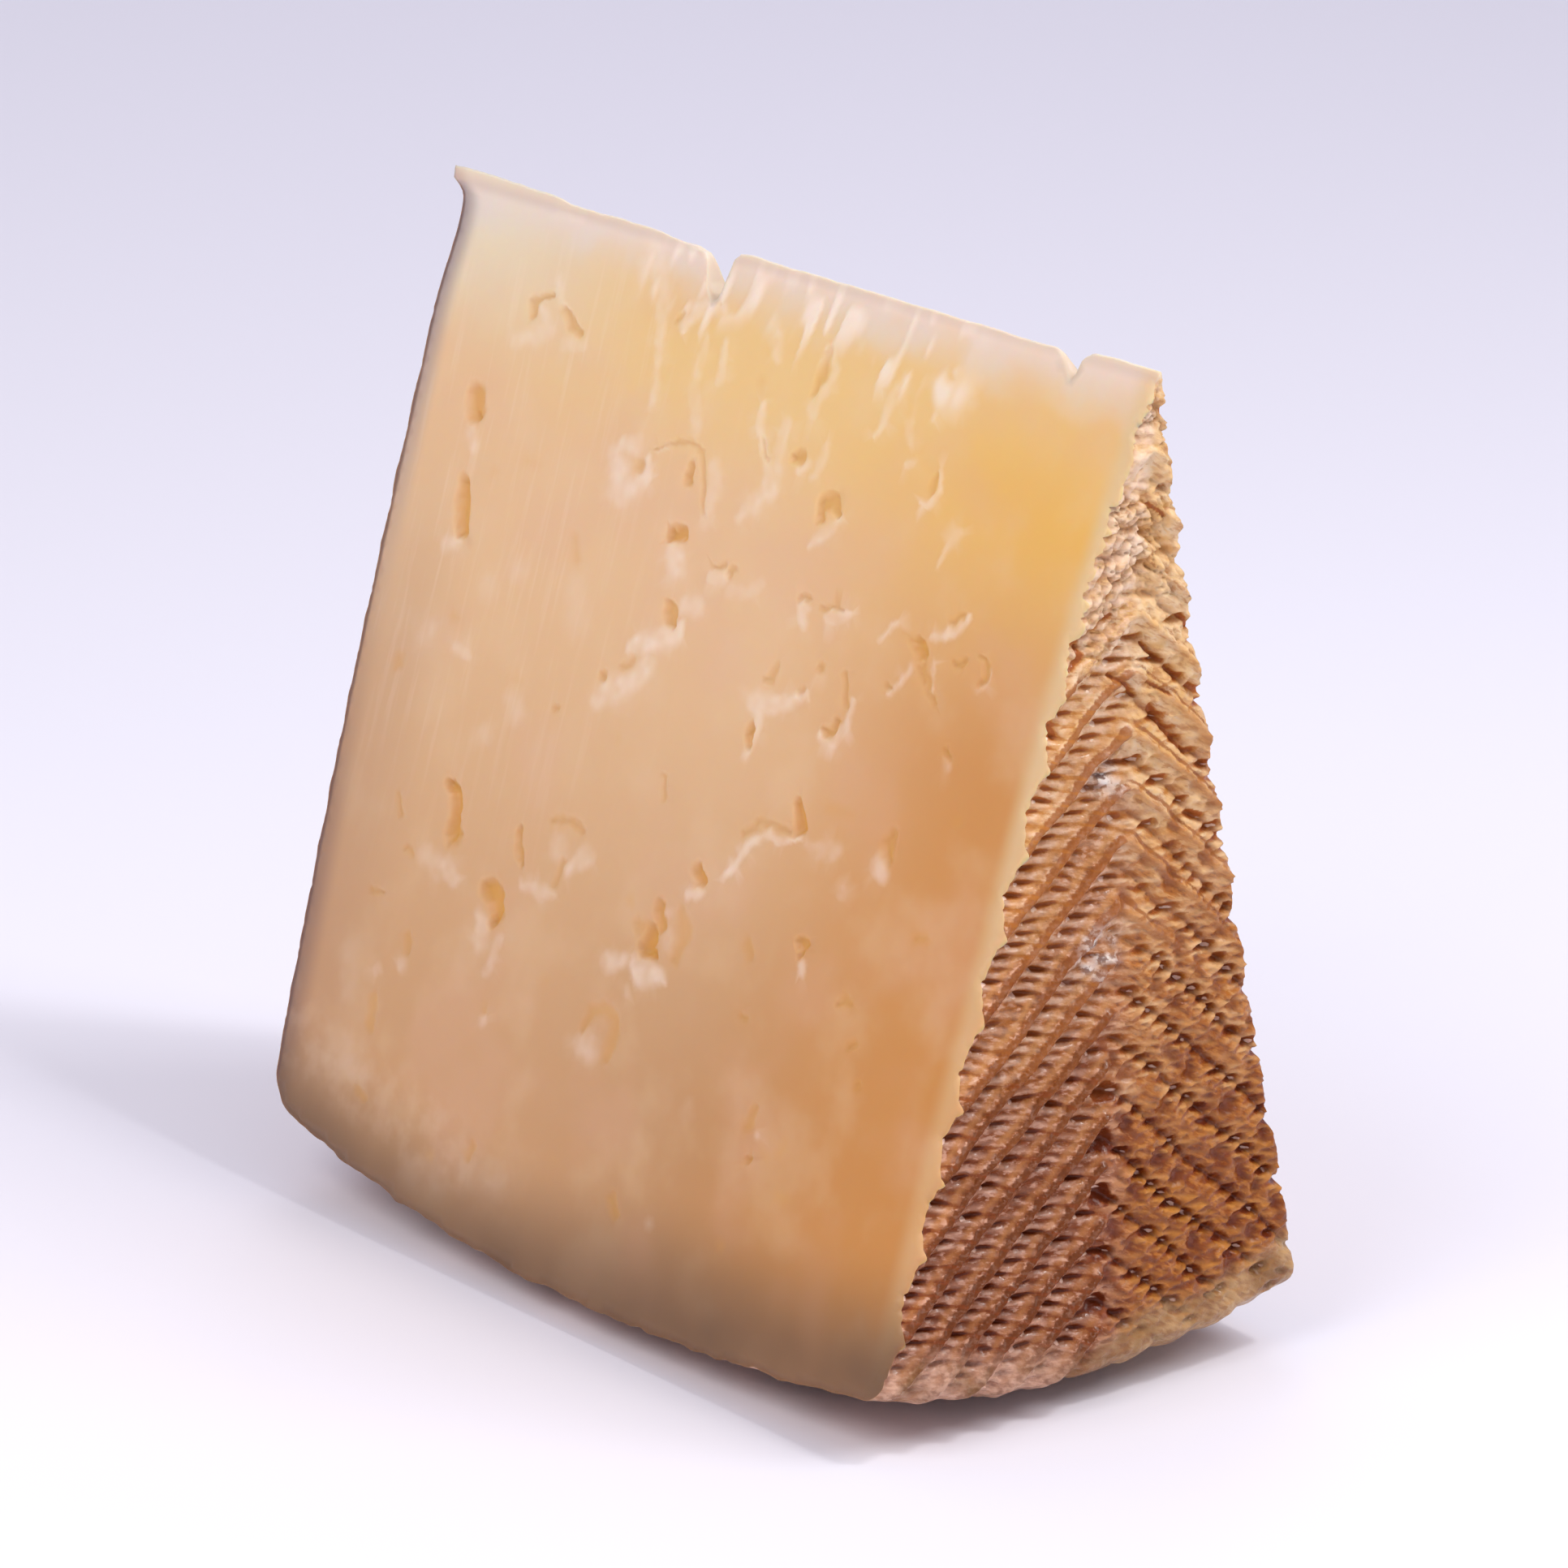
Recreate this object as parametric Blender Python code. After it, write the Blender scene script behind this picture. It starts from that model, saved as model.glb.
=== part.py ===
"""Wedge of aged mixed milk cheese, standing on its curved rind with the thin edge up."""

import math
import random

import bmesh
import bpy
from mathutils import Vector
from mathutils import noise
from mathutils.geometry import delaunay_2d_cdt

# Driving dimensions, in metres and degrees
# The wheel's axis lies along X at the thin edge, the pressed herringbone face is at +X,
# and the cut that faces front is at -Y
WALL_RADIUS = 0.1015
SECTOR_ANGLE = 30.94
RIGHT_RIM_REACH = 0.0476
HUB_RISE = 0.0039
HUB_FADE = 0.028
LEFT_REACH = 0.0519
LEFT_TAPER = 0.0034
LEFT_PINCH = 0.0012
LEFT_PINCH_DEPTH = 0.007
LEFT_PINCH_SPREAD = 0.0035
LEFT_LIP = 0.0012
LEFT_LIP_SPREAD = 0.0014
WALL_DROP_LEFT = 0.0061
WALL_DROP_RIGHT = 0.0040
WALL_HALF_WIDTH = 0.050
LEFT_ROUND = 0.0048
RIGHT_ROUND = 0.0032
ROUND_STEPS = 4
WALL_SPACING = 0.0042

# The wheel's own weight has pressed a small flat spot into the wall it rests on
FLAT_SPOT_DEPTH = 0.0005
FLAT_SPOT_LENGTH = 0.060
FLAT_SPOT_WIDTH = 0.038

# Thin top edge and the two nicks broken out of it
EDGE_DEPTH = 0.0008
EDGE_CREST = 0.00045
EDGE_WAVE = 0.00025
EDGE_WAVE_SIZE = 0.006
EDGE_SPACING = 0.0030
TIP_RISE = 0.0010
TIP_RISE_START = -0.042
# Each nick: where along the axis, half its width, its depth
NICK_WIDE = (-0.0113, 0.0027, 0.0042)
NICK_NARROW = (0.0394, 0.0010, 0.0024)

# Herringbone pressed into the right face
CORD_PITCH = 0.00523
CORD_SLOPE = 0.90
FIRST_CREST = 0.0037
CORD_HEIGHT = 0.00075
CORD_HALF = 0.19
GROOVE_DEPTH = 0.00050
GROOVE_PHASE = 0.30
GROOVE_HALF = 0.15
BEAD_PITCH = 0.00246
BEAD_HEIGHT = 0.00042
BEAD_PHASE = 0.64
BEAD_HALF = 0.26
ROW_PHASES = (0.0, 0.15, 0.30, 0.47, 0.64, 0.82)
CRUMBLE_HEIGHT = 0.00045
CRUMBLE_SIZE = 0.0042
CRUMBLE_END = 0.036
HUB_SHARE = 0.25
HUB_FADE_END = 0.034
RIM_FADE_START = 0.086

# Worn herringbone on the left face and the plaited band round the wall
WORN_HEIGHT = 0.00030
WORN_FADE_END = 0.016
WORN_ROW_SPACING = 0.0036
BAND_COUNT = 4
BAND_PITCH = 0.0054
BAND_SLOPE = 0.55
BAND_HEIGHT = 0.00040
BAND_FADE = 0.009
WALL_LUMP = 0.00030
WALL_LUMP_SIZE = 0.007
RIM_STEPS = 24

# Eyes and torn nicks of the front cut, in millimetres from the axis and the thin edge:
# along the axis, below the edge, width, height, lean in degrees, depth, torn lip
FRONT_EYES = (
    (-33.6, 10.6, 8.2, 2.2, 8, 0.9, 0.0),
    (-42.0, 21.9, 4.2, 5.0, 10, 1.3, 0.0),
    (-40.8, 32.1, 4.0, 6.2, 12, 1.4, 0.0),
    (-15.8, 23.2, 5.6, 4.6, 30, 0.7, 0.4),
    (-8.0, 22.0, 2.6, 3.4, 20, 0.9, 0.0),
    (-7.6, 27.4, 3.8, 2.2, 0, 1.2, 0.5),
    (-6.2, 36.0, 3.8, 2.8, 35, 1.0, 0.5),
    (-12.8, 43.4, 3.4, 2.0, -25, 0.7, 0.4),
    (6.8, 17.2, 2.4, 2.2, 0, 0.8, 0.3),
    (12.1, 21.0, 3.4, 4.0, -35, 1.0, 0.3),
    (14.4, 30.6, 4.6, 1.7, 0, 0.7, 0.4),
    (29.3, 31.0, 3.0, 2.4, 20, 1.0, 0.4),
    (20.6, 38.2, 2.2, 5.4, 15, 0.8, 0.3),
    (9.4, 43.2, 2.0, 3.0, 10, 0.9, 0.4),
    (18.9, 49.8, 2.8, 3.8, 15, 1.2, 0.3),
    (31.0, 49.0, 2.8, 3.8, 0, 0.8, 0.4),
    (6.7, 58.1, 2.4, 2.8, 0, 1.2, 0.3),
    (-30.8, 61.4, 3.2, 7.2, 24, 1.5, 0.0),
    (-19.4, 62.1, 1.8, 4.6, 20, 0.8, 0.0),
    (-21.5, 68.0, 5.0, 4.0, 15, 1.3, 0.0),
    (2.4, 65.2, 5.6, 5.6, 35, 2.0, 0.6),
    (23.1, 60.9, 2.2, 2.2, 0, 0.8, 0.0),
    (-2.6, 76.7, 5.6, 5.6, 0, 0.6, 0.0),
    (21.8, 77.8, 2.6, 3.6, 10, 0.6, 0.0),
    (5.3, 91.4, 3.6, 2.6, 0, 0.6, 0.0),
)
FRONT_SPACING = 0.0037
BACK_SPACING = 0.0046
BACK_EYES = 15
BACK_SEED = 7
CUT_WAVE = 0.00022
CUT_WAVE_SIZE = 0.026

MM = 0.001
HALF_ANGLE = math.radians(SECTOR_ANGLE / 2)
SIN_HALF = math.sin(HALF_ANGLE)
COS_HALF = math.cos(HALF_ANGLE)
EDGE_ROW = COS_HALF - CORD_SLOPE * SIN_HALF


# Small helpers


def clear_scene():
    for item in list(bpy.data.objects):
        bpy.data.objects.remove(item, do_unlink=True)


def hump(value):
    if abs(value) >= 1.0:
        return 0.0
    return math.cos(math.pi * value / 2) ** 2


def ramp(value, start, end):
    part = min(1.0, max(0.0, (value - start) / (end - start)))
    return part * part * (3 - 2 * part)


def spaced(start, stop, step):
    count = max(1, round(abs(stop - start) / step))
    return [start + (stop - start) * i / count for i in range(count + 1)]


def wave(a, b, size, seed):
    return noise.noise(Vector((a / size, b / size, seed * 3.7)))


# Outline of the wheel's section, as reach along the axis against distance from it


def left_face_x(r):
    taper = LEFT_TAPER * (r / WALL_RADIUS) ** 2.6
    pinch = LEFT_PINCH * math.exp(-(((r - LEFT_PINCH_DEPTH) / LEFT_PINCH_SPREAD) ** 2))
    lip = LEFT_LIP * math.exp(-((r / LEFT_LIP_SPREAD) ** 2))
    return -(LEFT_REACH - taper - pinch + lip)


def right_face_x(r):
    return RIGHT_RIM_REACH + HUB_RISE * math.exp(-r / HUB_FADE)


def wall_r(x):
    drop = WALL_DROP_LEFT if x < 0 else WALL_DROP_RIGHT
    return WALL_RADIUS - drop * (x / WALL_HALF_WIDTH) ** 2


def sharp_corner(face_x):
    r = WALL_RADIUS
    for _ in range(30):
        r = wall_r(face_x(r))
    return Vector((face_x(r), r))


def round_corner(corner, toward_a, toward_b, radius):
    half = toward_a.angle(toward_b) / 2
    start = corner + toward_a * (radius / math.tan(half))
    end = corner + toward_b * (radius / math.tan(half))
    centre = corner + (toward_a + toward_b).normalized() * (radius / math.sin(half))
    arm_a = start - centre
    arm_b = end - centre
    sweep = arm_a.angle(arm_b)
    stations = []
    for i in range(ROUND_STEPS + 1):
        part = i / ROUND_STEPS
        arm = (arm_a * math.sin((1 - part) * sweep) + arm_b * math.sin(part * sweep)) / math.sin(sweep)
        stations.append((centre + arm, arm.normalized()))
    return stations


def wall_stations():
    step = 0.0005
    left = sharp_corner(left_face_x)
    right = sharp_corner(right_face_x)
    up_left = Vector((left_face_x(left.y - step) - left.x, -step)).normalized()
    in_left = Vector((step, wall_r(left.x + step) - left.y)).normalized()
    up_right = Vector((right_face_x(right.y - step) - right.x, -step)).normalized()
    in_right = Vector((-step, wall_r(right.x - step) - right.y)).normalized()
    left_arc = round_corner(left, up_left, in_left, LEFT_ROUND)
    right_arc = round_corner(right, in_right, up_right, RIGHT_ROUND)
    middle = []
    for x in spaced(left_arc[-1][0].x, right_arc[0][0].x, WALL_SPACING)[1:-1]:
        drop = WALL_DROP_LEFT if x < 0 else WALL_DROP_RIGHT
        slope = -2 * drop * x / WALL_HALF_WIDTH ** 2
        middle.append((Vector((x, wall_r(x))), Vector((-slope, 1.0)).normalized()))
    return left_arc + middle + right_arc


STATIONS = wall_stations()
LEFT_RIM = STATIONS[0][0]
RIGHT_RIM = STATIONS[-1][0]


def station_lengths():
    lengths = [0.0]
    for before, after in zip(STATIONS, STATIONS[1:]):
        lengths.append(lengths[-1] + (after[0] - before[0]).length)
    return lengths


LENGTHS = station_lengths()


# Relief of the rind


def herringbone(across, down):
    row = down - CORD_SLOPE * abs(across)
    phase = ((row - FIRST_CREST) / CORD_PITCH) % 1.0
    near = min(phase, 1 - phase)
    height = CORD_HEIGHT * hump(near / CORD_HALF)
    height -= GROOVE_DEPTH * hump((phase - GROOVE_PHASE) / GROOVE_HALF)
    turn = 2 * math.pi * across / BEAD_PITCH
    return height + BEAD_HEIGHT * hump((phase - BEAD_PHASE) / BEAD_HALF) * math.cos(turn)


def right_relief(across, down):
    r = math.hypot(across, down)
    rim = 1 - ramp(r, RIM_FADE_START, RIGHT_RIM.y)
    hub = HUB_SHARE + (1 - HUB_SHARE) * ramp(r, 0.0, HUB_FADE_END)
    crumble = ramp(r, EDGE_DEPTH, CRUMBLE_SIZE) * (1 - ramp(r, CRUMBLE_END / 2, CRUMBLE_END))
    lumps = CRUMBLE_HEIGHT * crumble * wave(across, down, CRUMBLE_SIZE, 1)
    return rim * (hub * herringbone(across, down) + lumps)


def left_relief(across, down):
    r = math.hypot(across, down)
    row = down - CORD_SLOPE * abs(across)
    fade = ramp(r, CORD_PITCH, WORN_FADE_END) * (1 - ramp(r, RIM_FADE_START, LEFT_RIM.y))
    return WORN_HEIGHT * fade * math.cos(2 * math.pi * (row - FIRST_CREST) / CORD_PITCH)


def band_phase(x, arc):
    width = 2 * WALL_HALF_WIDTH / BAND_COUNT
    place = (x + WALL_HALF_WIDTH) / width
    fold = abs((place % 2.0) - 1.0)
    return (arc - BAND_SLOPE * width * fold) / BAND_PITCH


def wall_relief(index, arc):
    x = STATIONS[index][0].x
    end = min(LENGTHS[index], LENGTHS[-1] - LENGTHS[index])
    fade = ramp(end, 0.0, BAND_FADE)
    spot = math.hypot(2 * x / FLAT_SPOT_LENGTH, 2 * arc / FLAT_SPOT_WIDTH)
    fade *= ramp(spot, 0.8, 1.3)
    plait = BAND_HEIGHT * math.cos(2 * math.pi * band_phase(x, arc))
    return fade * (plait + WALL_LUMP * wave(x, arc, WALL_LUMP_SIZE, 5))


# Places on the solid


def turned(x, r, angle):
    return Vector((x, r * math.sin(angle), WALL_RADIUS - r * math.cos(angle)))


def place_right(across, down):
    x = right_face_x(math.hypot(across, down)) + right_relief(across, down)
    return Vector((x, across, WALL_RADIUS - down))


def place_left(across, down):
    x = left_face_x(math.hypot(across, down)) - left_relief(across, down)
    return Vector((x, across, WALL_RADIUS - down))


def place_wall(index, angle):
    point, normal = STATIONS[index]
    height = wall_relief(index, angle * WALL_RADIUS)
    place = turned(point.x + normal.x * height, point.y + normal.y * height, angle)
    place.z = max(place.z, FLAT_SPOT_DEPTH)
    return place


def edge_depth(x):
    depth = EDGE_DEPTH + EDGE_WAVE * wave(x, 0.0, EDGE_WAVE_SIZE, 2)
    for middle, half_width, deep in (NICK_WIDE, NICK_NARROW):
        depth += deep * max(0.0, 1 - abs(x - middle) / half_width)
    return depth


def edge_crest(x):
    rise = TIP_RISE * ramp(-x, -TIP_RISE_START, LEFT_REACH)
    return Vector((x, 0.0, WALL_RADIUS - edge_depth(x) * COS_HALF + EDGE_CREST + rise))


# Samples along the shared edges


def edge_stations():
    start = left_face_x(EDGE_DEPTH)
    stop = right_face_x(EDGE_DEPTH)
    xs = []
    for x in spaced(start, stop, EDGE_SPACING):
        wide = abs(x - NICK_WIDE[0]) > NICK_WIDE[1] * 1.25
        narrow = abs(x - NICK_NARROW[0]) > NICK_NARROW[1] * 1.9
        if wide and narrow:
            xs.append(x)
    for middle, half_width, _ in (NICK_WIDE, NICK_NARROW):
        xs += [middle + half_width * part for part in (-1.0, -0.5, 0.0, 0.5, 1.0)]
    return sorted(xs)


def right_rows():
    rows = []
    count = math.ceil(WALL_RADIUS / CORD_PITCH)
    for turn in range(-1, count):
        for phase in ROW_PHASES:
            row = FIRST_CREST + (turn + phase) * CORD_PITCH
            if row > 0.0014:
                rows.append(row)
    return rows


def right_edge_radii():
    radii = [row / EDGE_ROW for row in right_rows()]
    return [r for r in radii if r < RIGHT_RIM.y - 0.0008]


def left_edge_radii():
    return spaced(EDGE_DEPTH, LEFT_RIM.y, 0.0031)[1:-1]


RIM_ANGLES = [HALF_ANGLE * (2 * i / RIM_STEPS - 1) for i in range(RIM_STEPS + 1)]


# Sheets of triangles, each spread over a flat outline and then lifted into place


def inside(point, outline):
    hit = False
    for a, b in zip(outline, outline[1:] + outline[:1]):
        if (a[1] > point[1]) != (b[1] > point[1]):
            cross = a[0] + (point[1] - a[1]) * (b[0] - a[0]) / (b[1] - a[1])
            if point[0] < cross:
                hit = not hit
    return hit


def clear_of(point, outline, gap):
    for a, b in zip(outline, outline[1:] + outline[:1]):
        along_x = b[0] - a[0]
        along_y = b[1] - a[1]
        length = along_x ** 2 + along_y ** 2
        part = ((point[0] - a[0]) * along_x + (point[1] - a[1]) * along_y) / length
        part = min(1.0, max(0.0, part))
        gap_x = point[0] - a[0] - part * along_x
        gap_y = point[1] - a[1] - part * along_y
        if gap_x ** 2 + gap_y ** 2 < gap ** 2:
            return False
    return True


def add_sheet(bm, outline, inner, links, places):
    flat = [Vector((p[0] / MM, p[1] / MM)) for p in outline + inner]
    rim = list(range(len(outline)))
    result = delaunay_2d_cdt(flat, links, [rim], 1, 1e-6)
    if len(result[0]) != len(flat):
        raise ValueError("the sheet's samples cross")
    made = [None] * len(flat)
    for new, sources in enumerate(result[3]):
        made[new] = bm.verts.new(places[sources[0]])
    for face in result[2]:
        bm.faces.new([made[i] for i in face])


def disc_outline(radii, rim, corner_radius):
    outline = [(-corner_radius * SIN_HALF, corner_radius * COS_HALF)]
    outline += [(-r * SIN_HALF, r * COS_HALF) for r in radii]
    outline += [(rim * math.sin(a), rim * math.cos(a)) for a in RIM_ANGLES]
    outline += [(r * SIN_HALF, r * COS_HALF) for r in reversed(radii)]
    outline.append((corner_radius * SIN_HALF, corner_radius * COS_HALF))
    return outline


def disc_places(outline, inner, place, station, corner):
    places = [place(*p) for p in outline + inner]
    first = (len(outline) - len(RIM_ANGLES)) // 2
    for i, angle in enumerate(RIM_ANGLES):
        places[first + i] = place_wall(station, angle)
    places[0] = turned(*corner, -HALF_ANGLE)
    places[len(outline) - 1] = turned(*corner, HALF_ANGLE)
    return places


def add_right_face(bm, end_x):
    radii = right_edge_radii()
    corner = edge_depth(end_x)
    outline = disc_outline(radii, RIGHT_RIM.y, corner)
    number = {}
    for i, r in enumerate(radii):
        number[("front", i)] = 1 + i
        number[("back", i)] = len(outline) - 2 - i
    inner = []
    links = []
    for i, row in enumerate(right_rows()):
        before = number.get(("front", i))
        limit = row * SIN_HALF / EDGE_ROW
        reach = int(limit / (BEAD_PITCH / 2)) + 1
        for k in range(-reach, reach + 1):
            across = k * BEAD_PITCH / 2
            point = (across, row + CORD_SLOPE * abs(across))
            low = math.hypot(point[0], point[1]) > RIGHT_RIM.y - 0.0009
            if low or abs(across) > limit - 0.0007:
                before = before if not low else None
                continue
            inner.append(point)
            here = len(outline) + len(inner) - 1
            if before is not None:
                links.append((before, here))
            before = here
        if before is not None and ("back", i) in number and inner:
            links.append((before, number[("back", i)]))
    last = len(STATIONS) - 1
    places = disc_places(outline, inner, place_right, last, (end_x, corner))
    add_sheet(bm, outline, inner, links, places)


def add_left_face(bm, start_x):
    radii = left_edge_radii()
    corner = edge_depth(start_x)
    outline = disc_outline(radii, LEFT_RIM.y, corner)
    inner = []
    rows = int(WALL_RADIUS / (CORD_PITCH / 2))
    for i in range(1, rows):
        row = FIRST_CREST + i * CORD_PITCH / 2
        for k in range(-9, 10):
            across = k * WORN_ROW_SPACING
            point = (across, row + CORD_SLOPE * abs(across))
            if inside(point, outline) and clear_of(point, outline, 0.0013):
                inner.append(point)
    places = disc_places(outline, inner, place_left, 0, (start_x, corner))
    add_sheet(bm, outline, inner, [], places)


def add_wall(bm):
    last = len(STATIONS) - 1
    grid = []
    for angle in RIM_ANGLES:
        grid.append([bm.verts.new(place_wall(i, angle)) for i in range(last + 1)])
    for low, high in zip(grid, grid[1:]):
        for i in range(last):
            bm.faces.new((low[i], low[i + 1], high[i + 1], high[i]))


def add_top_edge(bm, xs):
    rows = []
    for x in xs:
        depth = edge_depth(x)
        crest = edge_crest(x)
        front = bm.verts.new(turned(x, depth, -HALF_ANGLE))
        back = bm.verts.new(turned(x, depth, HALF_ANGLE))
        rows.append((front, bm.verts.new(crest), back))
    for near, far in zip(rows, rows[1:]):
        bm.faces.new((near[0], far[0], far[1], near[1]))
        bm.faces.new((near[1], far[1], far[2], near[2]))
    for row in (rows[0], rows[-1]):
        bm.faces.new(row)


# Cut faces, spread over the section's outline


def section_outline(angle, xs):
    outline = [(x, edge_depth(x)) for x in xs]
    side = math.copysign(1.0, angle)
    for r in right_edge_radii():
        x = place_right(side * r * SIN_HALF, r * COS_HALF).x
        outline.append((x, r))
    for i in range(len(STATIONS) - 1, -1, -1):
        place = place_wall(i, angle)
        outline.append((place.x, math.hypot(place.y, WALL_RADIUS - place.z)))
    for r in reversed(left_edge_radii()):
        outline.append((place_left(side * r * SIN_HALF, r * COS_HALF).x, r))
    return outline


def eye_offset(eye, x, r):
    lean = math.radians(eye[4])
    off_x = x / MM - eye[0]
    off_r = r / MM - eye[1]
    wide = (off_x * math.cos(lean) - off_r * math.sin(lean)) / (eye[2] / 2)
    tall = (off_x * math.sin(lean) + off_r * math.cos(lean)) / (eye[3] / 2)
    return wide, tall


def eye_depth(eye, x, r):
    wide, tall = eye_offset(eye, x, r)
    spread = math.hypot(wide, tall)
    if spread > 1.6:
        return 0.0
    bowl = math.sqrt(max(0.0, 1 - min(1.0, spread) ** 2))
    low_side = max(0.0, tall / max(spread, 0.01))
    lip = eye[6] * hump((spread - 1.25) / 0.35) * low_side
    return MM * (lip - eye[5] * bowl)


def cut_relief(eyes, x, r, seed):
    height = CUT_WAVE * wave(x, r, CUT_WAVE_SIZE, seed)
    return height + sum(eye_depth(eye, x, r) for eye in eyes)


def eye_samples(eye):
    lean = math.radians(eye[4])
    samples = [(eye[0] * MM, eye[1] * MM)]
    around = max(6, round(math.pi * (eye[2] + eye[3]) / 2 / 1.25))
    for scale, count in ((0.55, max(5, around - 3)), (0.92, around), (1.25, around)):
        for i in range(count):
            turn = 2 * math.pi * (i + scale) / count
            wide = math.cos(turn) * scale * eye[2] / 2
            tall = math.sin(turn) * scale * eye[3] / 2
            x = eye[0] + wide * math.cos(lean) + tall * math.sin(lean)
            r = eye[1] - wide * math.sin(lean) + tall * math.cos(lean)
            samples.append((x * MM, r * MM))
    return samples


def grid_samples(outline, spacing, eyes):
    samples = []
    rows = int(WALL_RADIUS / (spacing * 0.866)) + 1
    for j in range(1, rows):
        r = j * spacing * 0.866
        for i in range(-16, 17):
            x = (i + 0.5 * (j % 2)) * spacing
            near_eye = any(math.hypot(*eye_offset(eye, x, r)) < 1.55 for eye in eyes)
            if near_eye or not inside((x, r), outline):
                continue
            if clear_of((x, r), outline, spacing * 0.45):
                samples.append((x, r))
    return samples


def thin_out(samples, gap):
    kept = []
    for point in samples:
        if all((point[0] - p[0]) ** 2 + (point[1] - p[1]) ** 2 > gap ** 2 for p in kept):
            kept.append(point)
    return kept


def add_cut(bm, angle, xs, eyes, spacing, seed):
    outline = section_outline(angle, xs)
    inner = []
    for eye in eyes:
        inner += eye_samples(eye)
    inner += grid_samples(outline, spacing, eyes)
    inner = [p for p in inner if inside(p, outline) and clear_of(p, outline, 0.0006)]
    inner = thin_out(inner, 0.0004)
    outward = Vector((0.0, math.cos(angle) * math.copysign(1.0, angle), math.sin(abs(angle))))
    places = [turned(x, r, angle) for x, r in outline]
    for x, r in inner:
        height = cut_relief(eyes, x, r, seed)
        places.append(turned(x, r, angle) + outward * height)
    add_sheet(bm, outline, inner, [], places)


def back_eyes():
    draw = random.Random(BACK_SEED)
    eyes = []
    while len(eyes) < BACK_EYES:
        size = draw.uniform(2.2, 5.6)
        eye = (
            draw.uniform(-42, 40),
            draw.uniform(12, 90),
            size,
            size * draw.uniform(0.6, 1.6),
            draw.uniform(-35, 35),
            size * draw.uniform(0.22, 0.34),
            draw.choice((0.0, 0.3, 0.5)),
        )
        if all(math.hypot(eye[0] - e[0], eye[1] - e[1]) > 11 for e in eyes):
            eyes.append(eye)
    return eyes


# Material and assembly


def paste_material():
    material = bpy.data.materials.new("aged_cheese_paste")
    material.use_nodes = True
    shader = material.node_tree.nodes["Principled BSDF"]
    shader.inputs["Base Color"].default_value = (0.69, 0.44, 0.22, 1.0)
    shader.inputs["Roughness"].default_value = 0.5
    shader.inputs["Metallic"].default_value = 0.0
    return material


def centre_on_base(bm):
    low = [min(v.co[i] for v in bm.verts) for i in range(3)]
    high = [max(v.co[i] for v in bm.verts) for i in range(3)]
    shift = Vector((-(low[0] + high[0]) / 2, -(low[1] + high[1]) / 2, -low[2]))
    for vert in bm.verts:
        vert.co += shift


def shade(bm):
    for face in bm.faces:
        face.smooth = True
    for edge in bm.edges:
        if len(edge.link_faces) == 2 and edge.calc_face_angle(0.0) > math.radians(50):
            edge.smooth = False


def build_wedge():
    bm = bmesh.new()
    xs = edge_stations()
    add_cut(bm, -HALF_ANGLE, xs, FRONT_EYES, FRONT_SPACING, 3)
    add_cut(bm, HALF_ANGLE, xs, back_eyes(), BACK_SPACING, 4)
    add_right_face(bm, xs[-1])
    add_left_face(bm, xs[0])
    add_wall(bm)
    add_top_edge(bm, xs)
    bmesh.ops.remove_doubles(bm, verts=bm.verts, dist=1e-6)
    bmesh.ops.triangulate(bm, faces=bm.faces)
    bmesh.ops.recalc_face_normals(bm, faces=bm.faces)
    centre_on_base(bm)
    shade(bm)
    mesh = bpy.data.meshes.new("cheese_wedge")
    bm.to_mesh(mesh)
    bm.free()
    mesh.materials.append(paste_material())
    wedge = bpy.data.objects.new("cheese_wedge", mesh)
    bpy.context.scene.collection.objects.link(wedge)
    return wedge


clear_scene()
build_wedge()
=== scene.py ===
# %% [markdown]
# # A wedge of aged mixed milk cheese
#
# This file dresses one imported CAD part: a twelfth of a small pressed wheel, standing on its
# curved rind with the thin edge up. The CAD solid has the true outline with a coarse relief.
# Here the same outline is built again as one fine closed mesh, because cheese lets light
# into its body, and light can only wander about inside a mesh that is closed.
# Sizes of the cheese are in millimetres and are turned to metres when its mesh is made. The
# camera, the lamps and the backdrop are in metres.

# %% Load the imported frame
import math
from functools import partial

import bpy
import bmesh
import numpy as np
from mathutils import Matrix, Vector
from mathutils.geometry import delaunay_2d_cdt


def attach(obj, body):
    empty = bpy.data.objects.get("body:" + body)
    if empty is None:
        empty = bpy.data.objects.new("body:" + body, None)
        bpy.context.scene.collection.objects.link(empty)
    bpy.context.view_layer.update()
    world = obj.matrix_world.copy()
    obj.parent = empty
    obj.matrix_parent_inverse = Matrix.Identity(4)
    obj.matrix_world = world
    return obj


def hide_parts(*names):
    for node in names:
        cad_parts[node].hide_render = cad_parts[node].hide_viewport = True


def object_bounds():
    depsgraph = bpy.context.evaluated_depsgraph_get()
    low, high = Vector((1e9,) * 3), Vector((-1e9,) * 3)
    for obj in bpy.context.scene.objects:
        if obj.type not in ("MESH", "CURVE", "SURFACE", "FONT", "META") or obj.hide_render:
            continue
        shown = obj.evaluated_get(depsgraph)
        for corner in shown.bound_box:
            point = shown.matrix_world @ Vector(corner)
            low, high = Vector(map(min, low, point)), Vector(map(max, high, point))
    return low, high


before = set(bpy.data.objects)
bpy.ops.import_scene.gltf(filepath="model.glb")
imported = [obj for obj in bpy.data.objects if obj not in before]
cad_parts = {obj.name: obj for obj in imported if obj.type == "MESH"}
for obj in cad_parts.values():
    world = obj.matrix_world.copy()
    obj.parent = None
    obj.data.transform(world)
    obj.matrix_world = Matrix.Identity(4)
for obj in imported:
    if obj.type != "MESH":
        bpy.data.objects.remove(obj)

cad_low, cad_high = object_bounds()
MM = 0.001
print("CAD box in mm:", [round(v / MM, 2) for v in (*cad_low, *cad_high)])

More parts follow.
